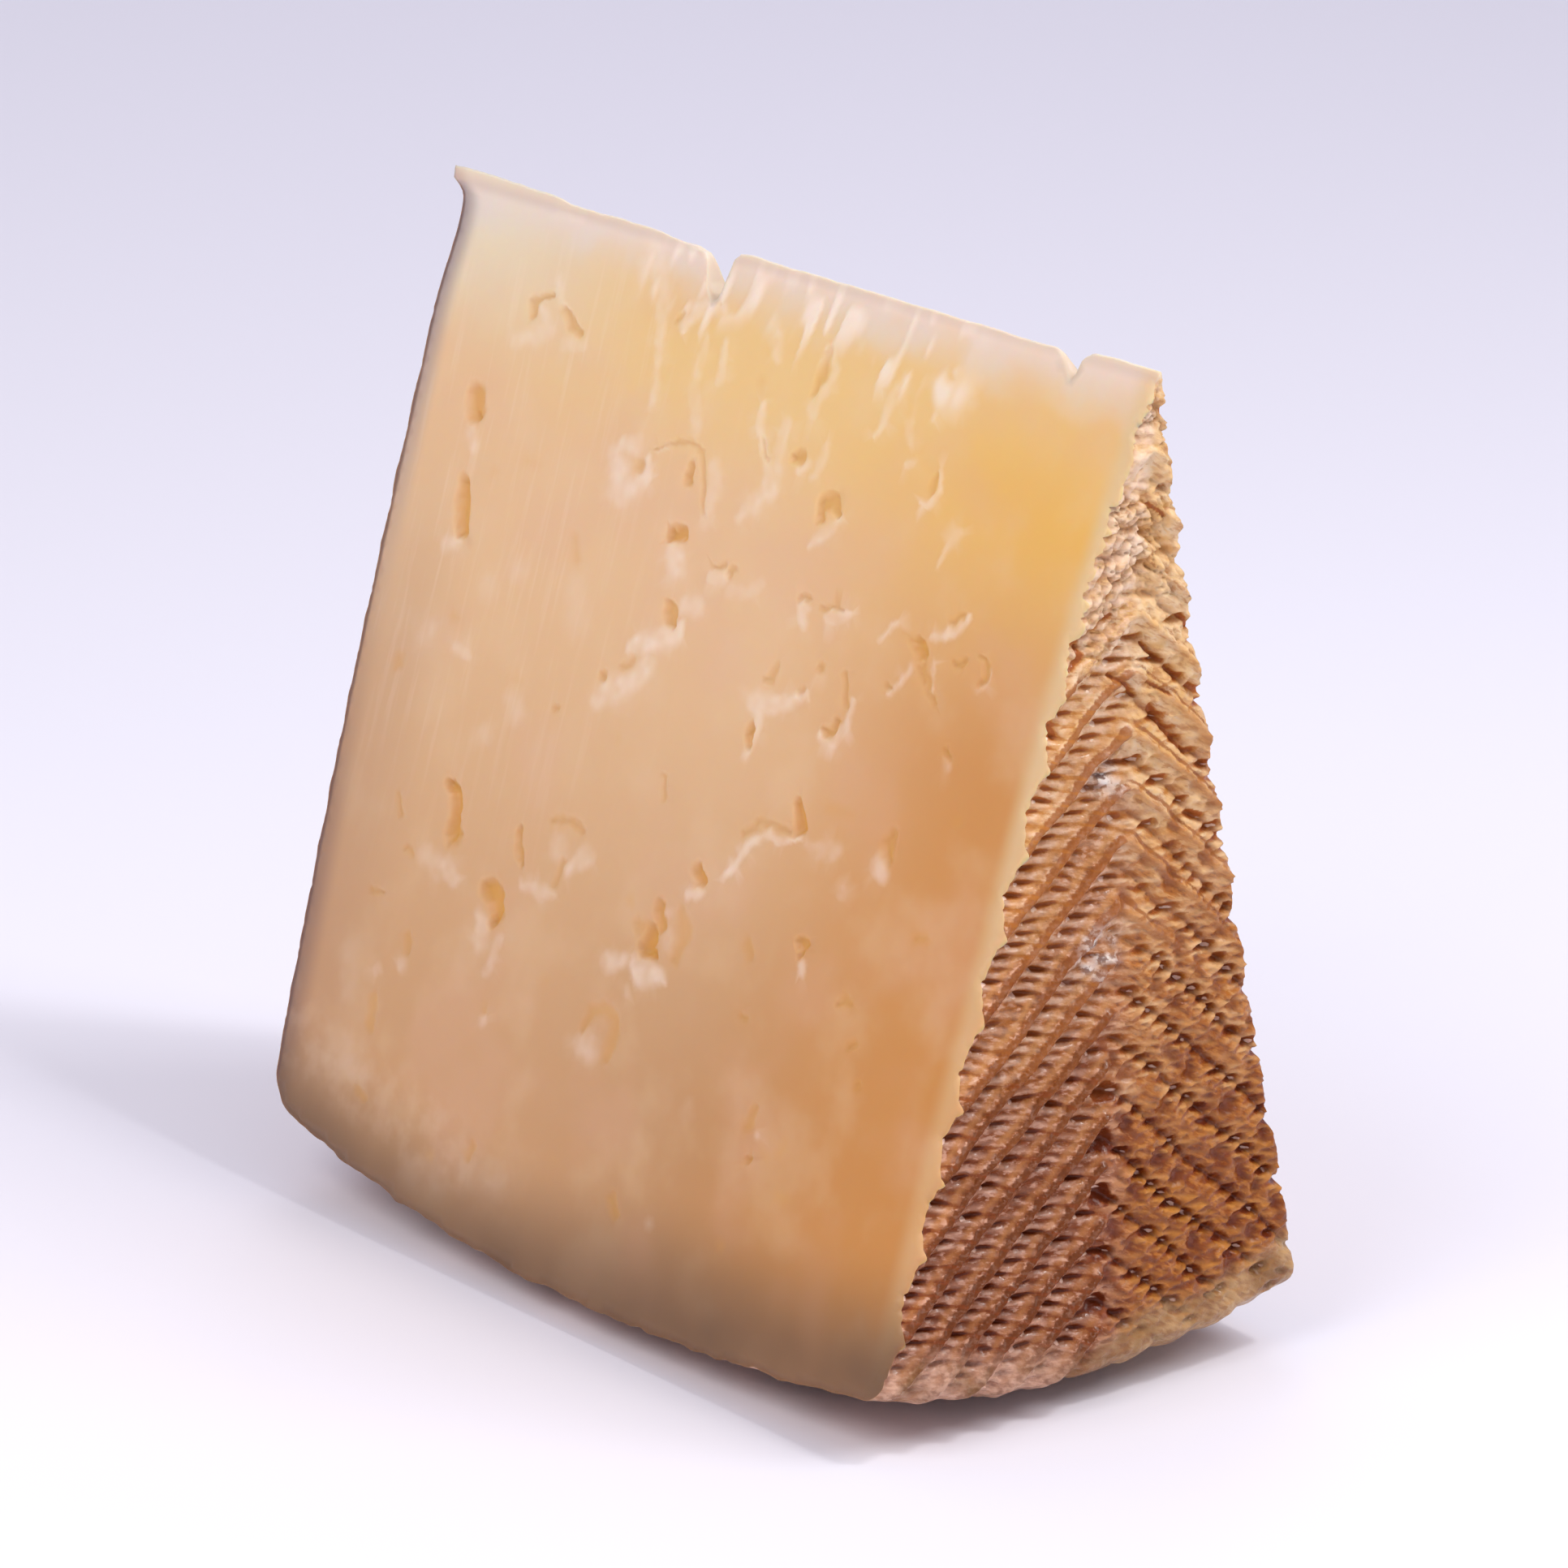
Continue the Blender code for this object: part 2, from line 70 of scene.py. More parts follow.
# %% [markdown]
# ## The camera
#
# A photograph of a small thing is mostly taken with a long lens from well back, which keeps
# its edges nearly parallel. The cut face and the rind share the view almost equally, so the
# camera stands between them. Aiming a camera at a point and then rolling it a little about
# its own line of sight is easier to read than three raw angles.

# %% Putting things in the scene, and aiming them


def put_in_scene(name, data):
    made = bpy.data.objects.new(name, data)
    bpy.context.scene.collection.objects.link(made)
    return made


def aimed(place, target, roll=0.0):
    aim = (target - place).to_track_quat("-Z", "Y").to_matrix().to_4x4()
    return Matrix.Translation(place) @ aim @ Matrix.Rotation(math.radians(roll), 4, "Z")


# %% Camera
CAMERA_PLACE = Vector((0.4920, -0.4119, 0.2420))
AIM_POINT = Vector((0.0224, -0.0179, 0.0581))
CAMERA_ROLL = 1.42
LENS = 158.4

camera_data = bpy.data.cameras.new("tasting_camera")
camera_data.lens = LENS
camera_data.sensor_width = 36.0
camera_data.clip_start = 0.01
camera = put_in_scene("tasting_camera", camera_data)
camera.matrix_world = aimed(CAMERA_PLACE, AIM_POINT, CAMERA_ROLL)
bpy.context.scene.camera = camera
print("camera distance in mm:", round((AIM_POINT - CAMERA_PLACE).length / MM))

# %% [markdown]
# ## The wheel's outline
#
# Cut a wheel through its axis and the cut shows its section: nearly a rectangle, a little
# fuller in the middle of the wall, thinner towards the rim, with rounded corners. The whole
# wedge is that section turned through about 31 degrees. So the outline comes first, as plain
# formulas: reach along the axis (x) against distance from the axis (r).

# %% Faces and wall of the wheel
WALL_RADIUS = 101.5
FLAT_SPOT = 0.5
HALF_ANGLE = math.radians(30.94 / 2)
RIGHT_RIM_REACH = 47.6
HUB_RISE = 3.9
HUB_FADE = 28.0
LEFT_REACH = 51.9
LEFT_TAPER = 3.4
LEFT_PINCH = 1.0
LEFT_LIP = 3.0
WALL_DROP_LEFT = 6.1
WALL_DROP_RIGHT = 4.0
WALL_HALF_WIDTH = 50.0
LEFT_ROUND = 4.8
RIGHT_ROUND = 3.2
EDGE_DEPTH = 0.8

AXIS_HEIGHT = cad_low.z / MM + WALL_RADIUS - FLAT_SPOT


def right_face(r):
    return RIGHT_RIM_REACH + HUB_RISE * np.exp(-r / HUB_FADE)


def left_face(r):
    taper = LEFT_TAPER * (r / WALL_RADIUS) ** 2.6
    pinch = LEFT_PINCH * np.exp(-(((r - 5.0) / 5.0) ** 2))
    return -(LEFT_REACH - taper - pinch + LEFT_LIP * np.exp(-((r / 1.2) ** 2)))


def wall(x):
    drop = np.where(x < 0, WALL_DROP_LEFT, WALL_DROP_RIGHT)
    return WALL_RADIUS - drop * (x / WALL_HALF_WIDTH) ** 2


AXIS_SHIFT = cad_high.x / MM - float(right_face(EDGE_DEPTH))
print("axis height and shift in mm:", round(AXIS_HEIGHT, 2), round(AXIS_SHIFT, 2))

# %% Rounded corners between the faces and the wall
ARC_STEPS = 24


def sharp_corner(face):
    r = WALL_RADIUS
    for _ in range(30):
        r = float(wall(face(r)))
    return np.array((float(face(r)), r))


def pairs(first, second):
    return np.stack((first, second), 1)


def unit(vector):
    return vector / np.linalg.norm(vector)


def corner_arc(corner, arm_a, arm_b, radius):
    half = math.acos(float(arm_a @ arm_b)) / 2
    centre = corner + unit(arm_a + arm_b) * radius / math.sin(half)
    start = corner + arm_a * radius / math.tan(half) - centre
    end = corner + arm_b * radius / math.tan(half) - centre
    sweep = math.pi - 2 * half
    part = np.linspace(0, 1, ARC_STEPS)[:, None]
    arms = (start * np.sin((1 - part) * sweep) + end * np.sin(part * sweep)) / math.sin(sweep)
    return centre + arms


def along_face(face, corner):
    return unit(np.array((float(face(corner[1] - 0.5)) - corner[0], -0.5)))


def along_wall(corner, step):
    return unit(np.array((step, float(wall(corner[0] + step)) - corner[1])))


left_corner = sharp_corner(left_face)
right_corner = sharp_corner(right_face)
left_arc = corner_arc(
    left_corner, along_face(left_face, left_corner), along_wall(left_corner, 0.5), LEFT_ROUND
)
right_arc = corner_arc(
    right_corner, along_wall(right_corner, -0.5), along_face(right_face, right_corner), RIGHT_ROUND
)
middle_x = np.linspace(left_arc[-1, 0], right_arc[0, 0], 200)[1:-1]
wall_line = np.concatenate((left_arc, pairs(middle_x, wall(middle_x)), right_arc))
LEFT_RIM = wall_line[0, 1]
RIGHT_RIM = wall_line[-1, 1]

wall_length = np.concatenate(([0.0], np.cumsum(np.linalg.norm(np.diff(wall_line, axis=0), axis=1))))
wall_slope = np.gradient(wall_line, wall_length, axis=0)
wall_normal = pairs(-wall_slope[:, 1], wall_slope[:, 0])
wall_normal /= np.linalg.norm(wall_normal, axis=1)[:, None]
print("wall with its corners, in mm:", round(wall_length[-1], 1), "rims at", LEFT_RIM, RIGHT_RIM)

# %% [markdown]
# ## Noise that a formula can use
#
# Nothing on a cheese is regular for long. A lattice of seeded random heights, blended
# smoothly between its points, gives bumps of any chosen size, and it works on whole arrays
# at once. Every call states its size in millimetres and its own seed, so a rerun is the same.
#
# A ramp goes smoothly from 0 to 1, and a hump is a smooth hill. Cells split a face into
# clods: they give the distance to the nearest crack and a chance value for each clod. The
# spread of a stroke is the distance from it, counted in radii of the pen that drew it.

# %% Ramp, hump and noise


def ramp(value, start, end):
    part = np.clip((value - start) / (end - start), 0.0, 1.0)
    return part * part * (3 - 2 * part)


def hump(value):
    return np.cos(np.clip(value, -1.0, 1.0) * math.pi / 2) ** 2


def lumps(u, v, size, seed):
    heights = np.random.default_rng(seed).uniform(-1.0, 1.0, (128, 128))
    u = np.asarray(u, float) / size + 640.0
    v = np.asarray(v, float) / size + 640.0
    col = np.floor(u).astype(int)
    row = np.floor(v).astype(int)
    fu = u - col
    fv = v - row
    fu = fu * fu * (3 - 2 * fu)
    fv = fv * fv * (3 - 2 * fv)
    a = heights[col % 128, row % 128]
    b = heights[(col + 1) % 128, row % 128]
    c = heights[col % 128, (row + 1) % 128]
    d = heights[(col + 1) % 128, (row + 1) % 128]
    return (a * (1 - fu) + b * fu) * (1 - fv) + (c * (1 - fu) + d * fu) * fv


def crumbs(u, v, size, seed):
    return lumps(u, v, size, seed) * 0.65 + lumps(u, v, size * 0.43, seed + 1) * 0.35


print("a ramp, half way:", ramp(0.5, 0.0, 1.0), "a lump:", round(float(lumps(1.0, 2.0, 5.0, 0)), 2))

# %% Cells and strokes


def cells(u, v, seed):
    nearest, second, owner = np.full_like(u, 9.0), np.full_like(u, 9.0), np.zeros_like(u)
    for du in (-1, 0, 1):
        for dv in (-1, 0, 1):
            col, row = np.floor(u) + du, np.floor(v) + dv
            centre_u = col + 0.5 + 0.45 * lumps(col * 7.0, row * 3.0, 1.0, seed)
            centre_v = row + 0.5 + 0.45 * lumps(col * 7.0, row * 3.0, 1.0, seed + 1)
            gap = np.hypot(u - centre_u, v - centre_v)
            owner = np.where(gap < nearest, lumps(col * 7.0, row * 3.0, 1.0, seed + 2), owner)
            second = np.minimum(second, np.maximum(gap, nearest))
            nearest = np.minimum(nearest, gap)
    return second - nearest, owner


def stroke_spread(points, x, r):
    spread = np.full(len(x), 9.0)
    ends = points if len(points) > 1 else points * 2
    for (ax, ar, a_size), (bx, br, b_size) in zip(ends, ends[1:]):
        square = (bx - ax) ** 2 + (br - ar) ** 2 + 1e-9
        part = np.clip(((x - ax) * (bx - ax) + (r - ar) * (br - ar)) / square, 0, 1)
        gap = np.hypot(x - ax - part * (bx - ax), r - ar - part * (br - ar))
        spread = np.minimum(spread, gap / (a_size + part * (b_size - a_size)))
    return spread


# %% [markdown]
# ## The herringbone rind
#
# The face of the wheel is pressed against a plaited grass mat. Each cord of the mat leaves
# a ridge that runs down and out from a spine, and the stitches between two cords leave a
# ladder of small pits. It could be a texture, but its ridges stand more than half a
# millimetre proud and notch the outline, so it is real relief: a height for every point
# (across, down) of the face, with masks that later choose the colours.
#
# The weave comes first, as two running numbers for each point: on which cord it lies (row)
# and on which stitch (rung). Slow noise bends both a little, because a mat is never straight.

# %% The weave's coordinates
CORD_PITCH = 5.23
SLOPE_LEFT = 0.92
SLOPE_RIGHT = 0.87
FIRST_CREST = 3.9
SPINE_ROUND = 0.9
RUNG_PITCH = 1.23
RUNG_TILT_LEFT = 0.15
RUNG_TILT_RIGHT = 0.05
# Cords of a real mat are not evenly spaced: where the crests lie, and which cord each one is
CREST_PLACES = (-9.0, 4.6, 5.7, 6.8, 7.85, 9.0, 9.95, 10.97, 12.0, 13.03, 14.0, 15.0, 30.0)
CREST_ORDER = (-9.0, 5.0, 6.0, 7.0, 8.0, 9.0, 10.0, 11.0, 12.0, 13.0, 14.0, 15.0, 30.0)


def weave(across, down):
    bend = np.hypot(across, SPINE_ROUND) - SPINE_ROUND
    slope = np.where(across < 0, SLOPE_LEFT, SLOPE_RIGHT)
    drift = 0.45 * lumps(across, down, 9.0, 11) + 0.32 * lumps(across, down, 2.9, 12)
    row = (down - slope * bend + drift - FIRST_CREST) / CORD_PITCH
    row = np.interp(row, CREST_PLACES, CREST_ORDER)
    tilt = np.where(across < 0, RUNG_TILT_LEFT, RUNG_TILT_RIGHT)
    rung = (down - tilt * across + 0.45 * lumps(across, down, 3.6, 13)) / RUNG_PITCH
    lean = slope + np.where(across < 0, tilt, -tilt)
    return row, rung, lean


# %% [markdown]
# ## One stitch
#
# A stitch of the mat leaves a lens-shaped pit with a pale bead round it. Its colour is dark
# under the upper lid, partly oil stain and partly painted shade. The bead is painted lighter
# on top, as painted light, and a small painted glint, a painted highlight, sits where oil
# caught in the pit would shine. Every second stitch was pulled tight and is a strong one. A
# noise that is sampled once for each stitch, called luck here, makes some of them deep and
# some nearly gone. On the right half the mat was turned, so there the pits are longer and
# lean more.

# %% One stitch: pit, painted shade under the lid, painted light on the bead and painted glint
CREASE_PLACE = 0.40
PIT_HALF_LEFT = 1.25
PIT_HALF_RIGHT = 1.60
LID_TILT_RIGHT = 0.24


def stitch_lens(row, rung, lean, right_half, crowded, vary):
    band = np.floor(row)
    fall = (rung - CREASE_PLACE) % 1.0
    upper = np.floor(rung - CREASE_PLACE)
    nearest = np.where(fall < 0.5, upper, upper + 1)
    luck = lumps(nearest * 7.3, band * 3.1, 1.0, 18)
    shift = 0.55 * lumps(nearest * 3.7, band * 5.3, 1.0, 22)
    strong = np.maximum((nearest + band) % 2 < 1, 0.75 * crowded) * (0.75 + 0.50 * luck)
    strong = np.clip(np.maximum(strong, 0.10 + 0.20 * luck), 0.03, 1.0)
    along = (row - band - 0.54 - 0.05 * vary) * CORD_PITCH / lean + shift
    offset = np.where(fall < 0.5, fall, fall - 1.0) * RUNG_PITCH - LID_TILT_RIGHT * right_half * along
    half = PIT_HALF_LEFT + (PIT_HALF_RIGHT - PIT_HALF_LEFT) * right_half
    size = 0.55 + 0.45 * strong
    ends = np.clip(along / (half * size), -1.0, 1.0)
    offset = offset + (0.14 + 0.12 * right_half) * ends ** 2
    deep = np.clip(1 - ends ** 2 - (offset / np.where(offset < 0, 0.34, 0.58) / size) ** 2, 0, 1)
    # The pit's dark colour under its upper lid: partly oil stain, partly painted shade
    dark = 1 - ends ** 2 - ((offset + 0.05) / (0.38 + 0.06 * right_half) / size) ** 2
    dark = np.clip(0.5 + 0.5 * dark, 0, 1) * (0.50 + 0.50 * ramp(strong, 0.05, 0.65))
    # The ring is a raised rim round the pit; in colour, on the right half, it is a painted highlight
    ring = hump((np.hypot(ends, (offset - 0.05) / 0.50 / size) - 1.35) / 0.45)
    small = 1 - 0.25 * right_half
    # A painted glint: a pale spot on the pit's lower lid, a painted highlight for the shine of oil
    painted_glint = 1 - ramp(np.hypot((ends + 0.30) / 0.55 / small, (offset - 0.26) / 0.28 / small), 0.3, 1.1)
    painted_glint *= ramp(strong, 0.3, 0.8) * (1.25 - 0.45 * right_half) * (0.9 + 0.4 * luck)
    return fall, strong, luck, deep * strong, dark, ring * strong, painted_glint


# %% [markdown]
# ## Fissures
#
# Near the hub the press was light and the curd stayed crumbly, with a few deep cracks that
# anyone would notice. Those are drawn one by one, each as a stroke: points with their place
# across and down the face and the radius of the stroke there. The finer cracks between the
# clods come from noise further down.

# %% Fissures near the hub, as strokes of (across, down, radius)
FISSURES = (
    ((-7.0, 25.0, 0.4), (-4.5, 24.0, 0.3), (-2.6, 22.9, 0.25)),
    ((-6.2, 25.4, 0.4), (-6.0, 26.6, 0.4), (-7.2, 27.4, 0.3)),
    ((2.9, 32.4, 0.45), (4.6, 34.6, 0.4), (6.2, 36.2, 0.35), (7.9, 37.9, 0.25)),
    ((1.4, 26.2, 0.3), (2.6, 27.4, 0.4), (4.0, 28.3, 0.3)), ((4.6, 28.9, 0.3), (5.8, 30.0, 0.4)),
    ((7.4, 31.0, 0.3), (8.8, 31.9, 0.5)), ((6.0, 24.2, 0.3), (7.0, 25.4, 0.4)),
    ((2.0, 29.8, 0.25), (4.6, 31.4, 0.25)), ((-2.6, 28.6, 0.3), (-0.4, 29.8, 0.3), (1.0, 31.2, 0.25)),
    ((-9.0, 32.2, 0.5), (-8.4, 33.6, 0.4)), ((0.4, 12.6, 0.25), (2.4, 14.2, 0.2)),
    ((1.0, 3.6, 0.25), (1.4, 4.8, 0.3)), ((-0.6, 35.6, 0.25), (-2.8, 37.6, 0.3), (-4.6, 39.2, 0.2)),
)


def fissures(across, down):
    dark = np.zeros_like(across)
    for points in FISSURES:
        spread = stroke_spread(points, across + 0.15 * lumps(across, down, 0.9, 28), down)
        dark = np.maximum(dark, 1 - ramp(spread, 0.3, 1.3))
    return dark


print("fissures:", len(FISSURES))

# %% [markdown]
# ## The pressed face
#
# Here cords, stitches and hollows come together. On the left half each cord is a narrow
# round ridge. A brown line of painted shade runs along its lower flank, and its upper flank
# is painted pale, as painted light. On the right half the ridges are broad ribbons, with
# brown seams between them and round hollows along them, both darkened partly by stain and
# partly by painted shade. Near the rim the mould has pressed the lot smooth, and near the hub
# the ridges give way to clods. Each of these is a small function, because a long formula is
# easier to check in parts.

# %% Where weak stitches are as strong as the others


def crowding(across, down, right_half, blotch):
    low_part = ramp(down - 0.5 * across + 4.0 * blotch, 84.0, 90.0)
    right_part = right_half * ramp(down + 6.0 * blotch, 48.0, 64.0)
    left_part = (1 - right_half) * ramp(lumps(across, down, 8.0, 30) + ramp(down, 60.0, 52.0), 0.3, 0.7)
    to_back = down * math.sin(HALF_ANGLE) - across * math.cos(HALF_ANGLE)
    back_part = right_half * ramp(to_back + 2.0 * blotch, 7.0, 4.5) * ramp(down, 32.0, 37.0)
    return np.maximum.reduce((low_part, right_part, left_part, back_part))


# %% Crest, painted-shade line and painted-light flank of each cord
CREST_HALF = 0.12
LINE_HALF = 0.10
LINE_PLACE = -0.055


def cord_marks(across, row, wobble, right_half, upper, vary):
    left_half = 1 - right_half
    crest = hump(wobble / (CREST_HALF * (1.0 + 0.25 * vary))) ** 0.8
    crest *= 1 - 0.8 * right_half + 0.5 * upper
    half = LINE_HALF * (1.0 + 0.6 * lumps(np.round(row) * 1.7, across, 14.0, 20))
    # A brown line of painted shade along the cord's lower flank
    shaded_flank = ramp(wobble, LINE_PLACE - half, LINE_PLACE - 0.2 * half) * ramp(wobble, 0.17, 0.11)
    shaded_flank = np.maximum(shaded_flank * left_half, 0.8 * upper * hump((wobble + 0.15) / LINE_HALF))
    # The cord's upper flank, painted pale as painted light
    lit_flank = hump((wobble + 0.20) / 0.12) * left_half
    lit_flank += hump((wobble - 0.02) / 0.13) * (0.2 * right_half + 0.7 * upper)
    return crest, shaded_flank, lit_flank


# %% Round hollows along the ribbons of the right half
HOLLOW_PITCH = 3.6


def ribbon_hollows(across, down, row, signed, right_half, vary):
    place = (across + 0.5 * down + 0.9 * vary) / HOLLOW_PITCH + 0.37 * np.round(row)
    gap = np.hypot((place % 1.0 - 0.5) * HOLLOW_PITCH / 1.5, signed * CORD_PITCH / 1.4)
    hollow = 1 - ramp(gap + 0.3 * lumps(across, down, 1.3, 35), 0.25, 1.25)
    fate = lumps(np.floor(place) * 5.1, np.round(row) * 3.3, 1.0, 27)
    return right_half * hollow * ramp(fate, -0.25, 0.25) * ramp(down, 34.0, 46.0)


# %% Clods and cracks near the hub
def hub_clods(across, down, row, crumbly):
    ragged = 0.30 * lumps(across, down, 1.1, 17)
    seam, block = cells(across / 3.2 + ragged, row * CORD_PITCH / 2.3 + ragged, 15)
    chip, _ = cells(across / 1.3, row * CORD_PITCH, 29)
    crack = np.maximum(1 - ramp(seam, 0.0, 0.22), 0.6 - 0.6 * ramp(chip, 0.0, 0.25))
    crack *= ramp(lumps(across, down, 3.4, 23), -0.7, 0.1)
    torn = fissures(across, down)
    crack = np.maximum(crack * crumbly, torn)
    clods = 0.30 * block + 0.50 * ramp(seam, -0.1, 0.8) + 0.14 * ramp(chip, 0.0, 0.5) - 0.35
    return clods, crack, torn


# %% The smooth rim, with the few pits that stay on it
RIM_START = 92.0
RIM_PITS = (
    (21.5, 88.0), (16.5, 89.0), (13.5, 91.0), (14.5, 92.8), (20.5, 91.8),
    (24.0, 89.5), (24.0, 92.5), (9.5, 93.0), (8.5, 96.0),
)


def pressed_rim(across, down, right_half, blotch, luck):
    start = RIM_START - 0.6 * right_half + 1.8 * blotch
    smooth = ramp(np.hypot(across, down), start, start + 4.0 - 1.5 * right_half)
    bare = smooth * (0.35 + 0.65 * right_half)
    kept = 1 - bare * (0.1 + 0.9 * ramp(luck, 0.2, -0.2))
    gaps = [np.hypot((across - a) / 1.0, (down - d - 0.3 * (across - a)) / 0.45) for a, d in RIM_PITS]
    return smooth, bare, kept, 1 - np.min(gaps, axis=0) ** 2


# %% Spots of pale mould
MOULD_SPOTS = ((-2.3, 55.4, 2.3), (-2.2, 38.2, 1.6))


def mould_bloom(across, down):
    bloom = sum(np.exp(-((across - a) ** 2 + (down - d) ** 2) / s ** 2) for a, d, s in MOULD_SPOTS)
    return np.clip(bloom * (0.75 + 1.3 * lumps(across, down, 0.8, 71)), 0, 1)


# %% Height and masks of the pressed face
CORD_HEIGHT = 0.72
BAND_RECESS = 0.38
SCALLOP = 0.85
BEAD_HEIGHT = 0.32
PIT_DEPTH = 0.95
HOLLOW_DEPTH = 0.50
CLOD_HEIGHT = 0.75
CRACK_DEPTH = 0.65


def pressed_face(across, down):
    row, rung, lean = weave(across, down)
    signed = (row + 0.5) % 1.0 - 0.5
    right_half = ramp(across, -0.8, 0.8)
    left_half = 1 - right_half
    vary = lumps(across, down, 2.3, 14)
    blotch = lumps(across, down, 6.5, 16)
    clear = ramp(down + 3.0 * blotch, 18.0, 33.0)
    crumbly = (1 - clear) * ramp(down, 0.8, 4.0)
    upper = right_half * ramp(down + 4.0 * blotch, 64.0, 50.0)
    crowded = crowding(across, down, right_half, blotch)
    fall, strong, luck, pit, dark, ring, painted_glint = stitch_lens(row, rung, lean, right_half, crowded, vary)
    wobble = signed + 0.035 * lumps(across, down, 1.3, 25) + 0.03 * lumps(across, down, 4.0, 31)
    crest, shaded_flank, lit_flank = cord_marks(across, row, wobble, right_half, upper, vary)
    hollow = ribbon_hollows(across, down, row, signed, right_half, vary)
    clods, crack, torn = hub_clods(across, down, row, crumbly)
    smooth_rim, bare, kept, rim_pit = pressed_rim(across, down, right_half, blotch, luck)
    mould = mould_bloom(across, down)

    # Between two cords: the band with its creases, and the seam between two ribbons
    open_band = (1 - crest) * (1 - 0.4 * shaded_flank) * hump(np.abs(signed) / 0.5 - 1.0) ** 0.3
    crease = hump(np.where(fall < 0.5, fall, 1.0 - fall) / 0.42) * (0.15 + 0.85 * strong)
    crease *= 0.35 + 0.65 * ramp(lumps(across, down, 1.9, 32), -0.5, 0.3)
    # The seams between ribbons are darkened in colour only: partly stain, partly painted shade
    seam_stain_and_shade = hump((np.abs(signed + 0.4 * (wobble - signed)) - 0.5) / 0.13) * right_half
    seam_stain_and_shade *= 0.35 + 0.65 * ramp(lumps(across, down, 2.6, 33), -0.5, 0.2)
    to_cut = across * math.cos(HALF_ANGLE) + down * math.sin(HALF_ANGLE)
    smeared = 0.45 + 0.55 * ramp(to_cut, 0.1, 1.2)

    rise = CORD_HEIGHT * (1.0 + 0.25 * blotch) * crest
    arch = np.clip(1 - (2 * signed) ** 2, 0, 1) ** 0.6 - 0.6
    rise += BAND_RECESS * left_half * np.cos(2 * math.pi * row) + SCALLOP * right_half * arch
    rise -= BEAD_HEIGHT * crease * open_band * (1 - 0.9 * right_half) * smeared
    rise += right_half * (0.34 * ring + 0.16 * vary) - HOLLOW_DEPTH * hollow
    rise *= 1 - (0.20 + 0.55 * right_half) * smooth_rim

    # At the spine two rows of stitches meet in one deep pit
    apex = np.hypot(across / 1.4, (row - np.floor(row) - 0.5) / 0.22)
    apex_pit = np.clip(1 - apex ** 2, 0, 1) * ramp(down, 64.0, 70.0) * ramp(vary, -0.7, 0.3)
    pit = np.maximum(pit, apex_pit)
    dark = np.maximum(dark, 0.5 * (apex_pit > 0) + 0.5 * apex_pit)

    faint = 0.35 + 0.65 * right_half * ramp(down, 3.0, 9.0)
    press = faint + (1 - faint) * clear
    height = press * (rise - PIT_DEPTH * pit * kept * smeared) - 0.5 * np.clip(rim_pit, 0, 1)
    height += crumbly * CLOD_HEIGHT * clods - CRACK_DEPTH * crack + 0.10 * lumps(across, down, 0.65, 19)
    height += 0.35 * mould

    seen = 0.15 + 0.85 * clear
    # The tops of the beads are painted pale, as painted light from above, and so are the rings of the
    # right half; random tone and the clods near the hub add to it
    lit = hump((fall - 0.40) / 0.38) * open_band
    pale_and_highlight = lit * (0.70 + 0.50 * luck) + right_half * (0.55 * ring + 0.20 * vary) + crumbly * (0.5 + clods)
    # Darker where the surface lies low: partly oil stain, partly painted shade in the recesses
    cavity_stain_and_shade = ramp(-height, -0.25, 0.55) * (0.75 + 0.25 * vary)
    # Dark pits, cracks and fissures in colour: partly stain, partly painted shade in the recesses
    dark_pits_and_shade = np.maximum.reduce((dark * seen * kept, 0.5 + 0.5 * rim_pit, 0.25 * crack, 0.78 * torn))
    masks = {
        "rind_pit": dark_pits_and_shade * (1 - mould),
        "rind_glint": painted_glint * seen * kept * (1 - hollow),
        "rind_cord": shaded_flank * seen * (1 - bare),
        "rind_hollow": np.clip(0.8 * hollow + 0.75 * seam_stain_and_shade, 0, 1) * seen * (1 - bare),
        "rind_crest": lit_flank * seen,
        "rind_rim": pale_and_highlight * (1 - 0.5 * lit_flank),
        "rind_stain": np.maximum(cavity_stain_and_shade * seen * (1 - 0.7 * bare), 0.9 * crack),
        "rind_edge": smooth_rim * (0.85 + 0.15 * right_half),
        "mould": mould,
    }
    return height, masks


def low_high(values):
    return values.min().round(2), values.max().round(2)


SAMPLE = [grid.ravel() for grid in np.meshgrid(np.linspace(-20, 20, 60), np.linspace(10, 95, 60))]
print("pressed face, lowest and highest in mm:", *low_high(pressed_face(*SAMPLE)[0]))

# %% [markdown]
# ## The worn face and the wall
#
# The other face of the wheel met the same mat, but months of turning on a shelf wear it
# down, so it takes the same function at under a third of its height. It is moved down by
# one cord, or the two faces would be twins. The wall carries a plaited pattern from the belt
# round the mould: diagonal waves in four bands that lean to and fro, fade at both rims and
# are gone from the flat spot that the wedge rests on. Small crags roughen the wall's edges.

# %% Height of the worn left face
WORN_SHARE = 0.30
WORN_COLOUR_SHARE = 0.85


def worn_face(across, down):
    pressed, masks = pressed_face(across, down + CORD_PITCH)
    r = np.hypot(across, down)
    fade = ramp(r, 5.0, 16.0) * (1 - ramp(r, 86.0, LEFT_RIM))
    fade *= 0.35 + 0.65 * ramp(np.sin(HALF_ANGLE) * down + across * np.cos(HALF_ANGLE), 0.0, 7.0)
    height = fade * WORN_SHARE * pressed + 0.14 * crumbs(across, down, 2.2, 31) * ramp(r, 0.8, 4.0)
    return height, {name: WORN_COLOUR_SHARE * values for name, values in masks.items()}


print("worn face, lowest and highest in mm:", *low_high(worn_face(*SAMPLE)[0]))

# %% Height of the plaited band round the wall
BAND_COUNT = 4
BAND_PITCH = 5.4
BAND_SLOPE = 0.55
BAND_HEIGHT = 0.45
STRAW_PITCH = 2.4
SPOT_REACH = (30.0, 19.0)


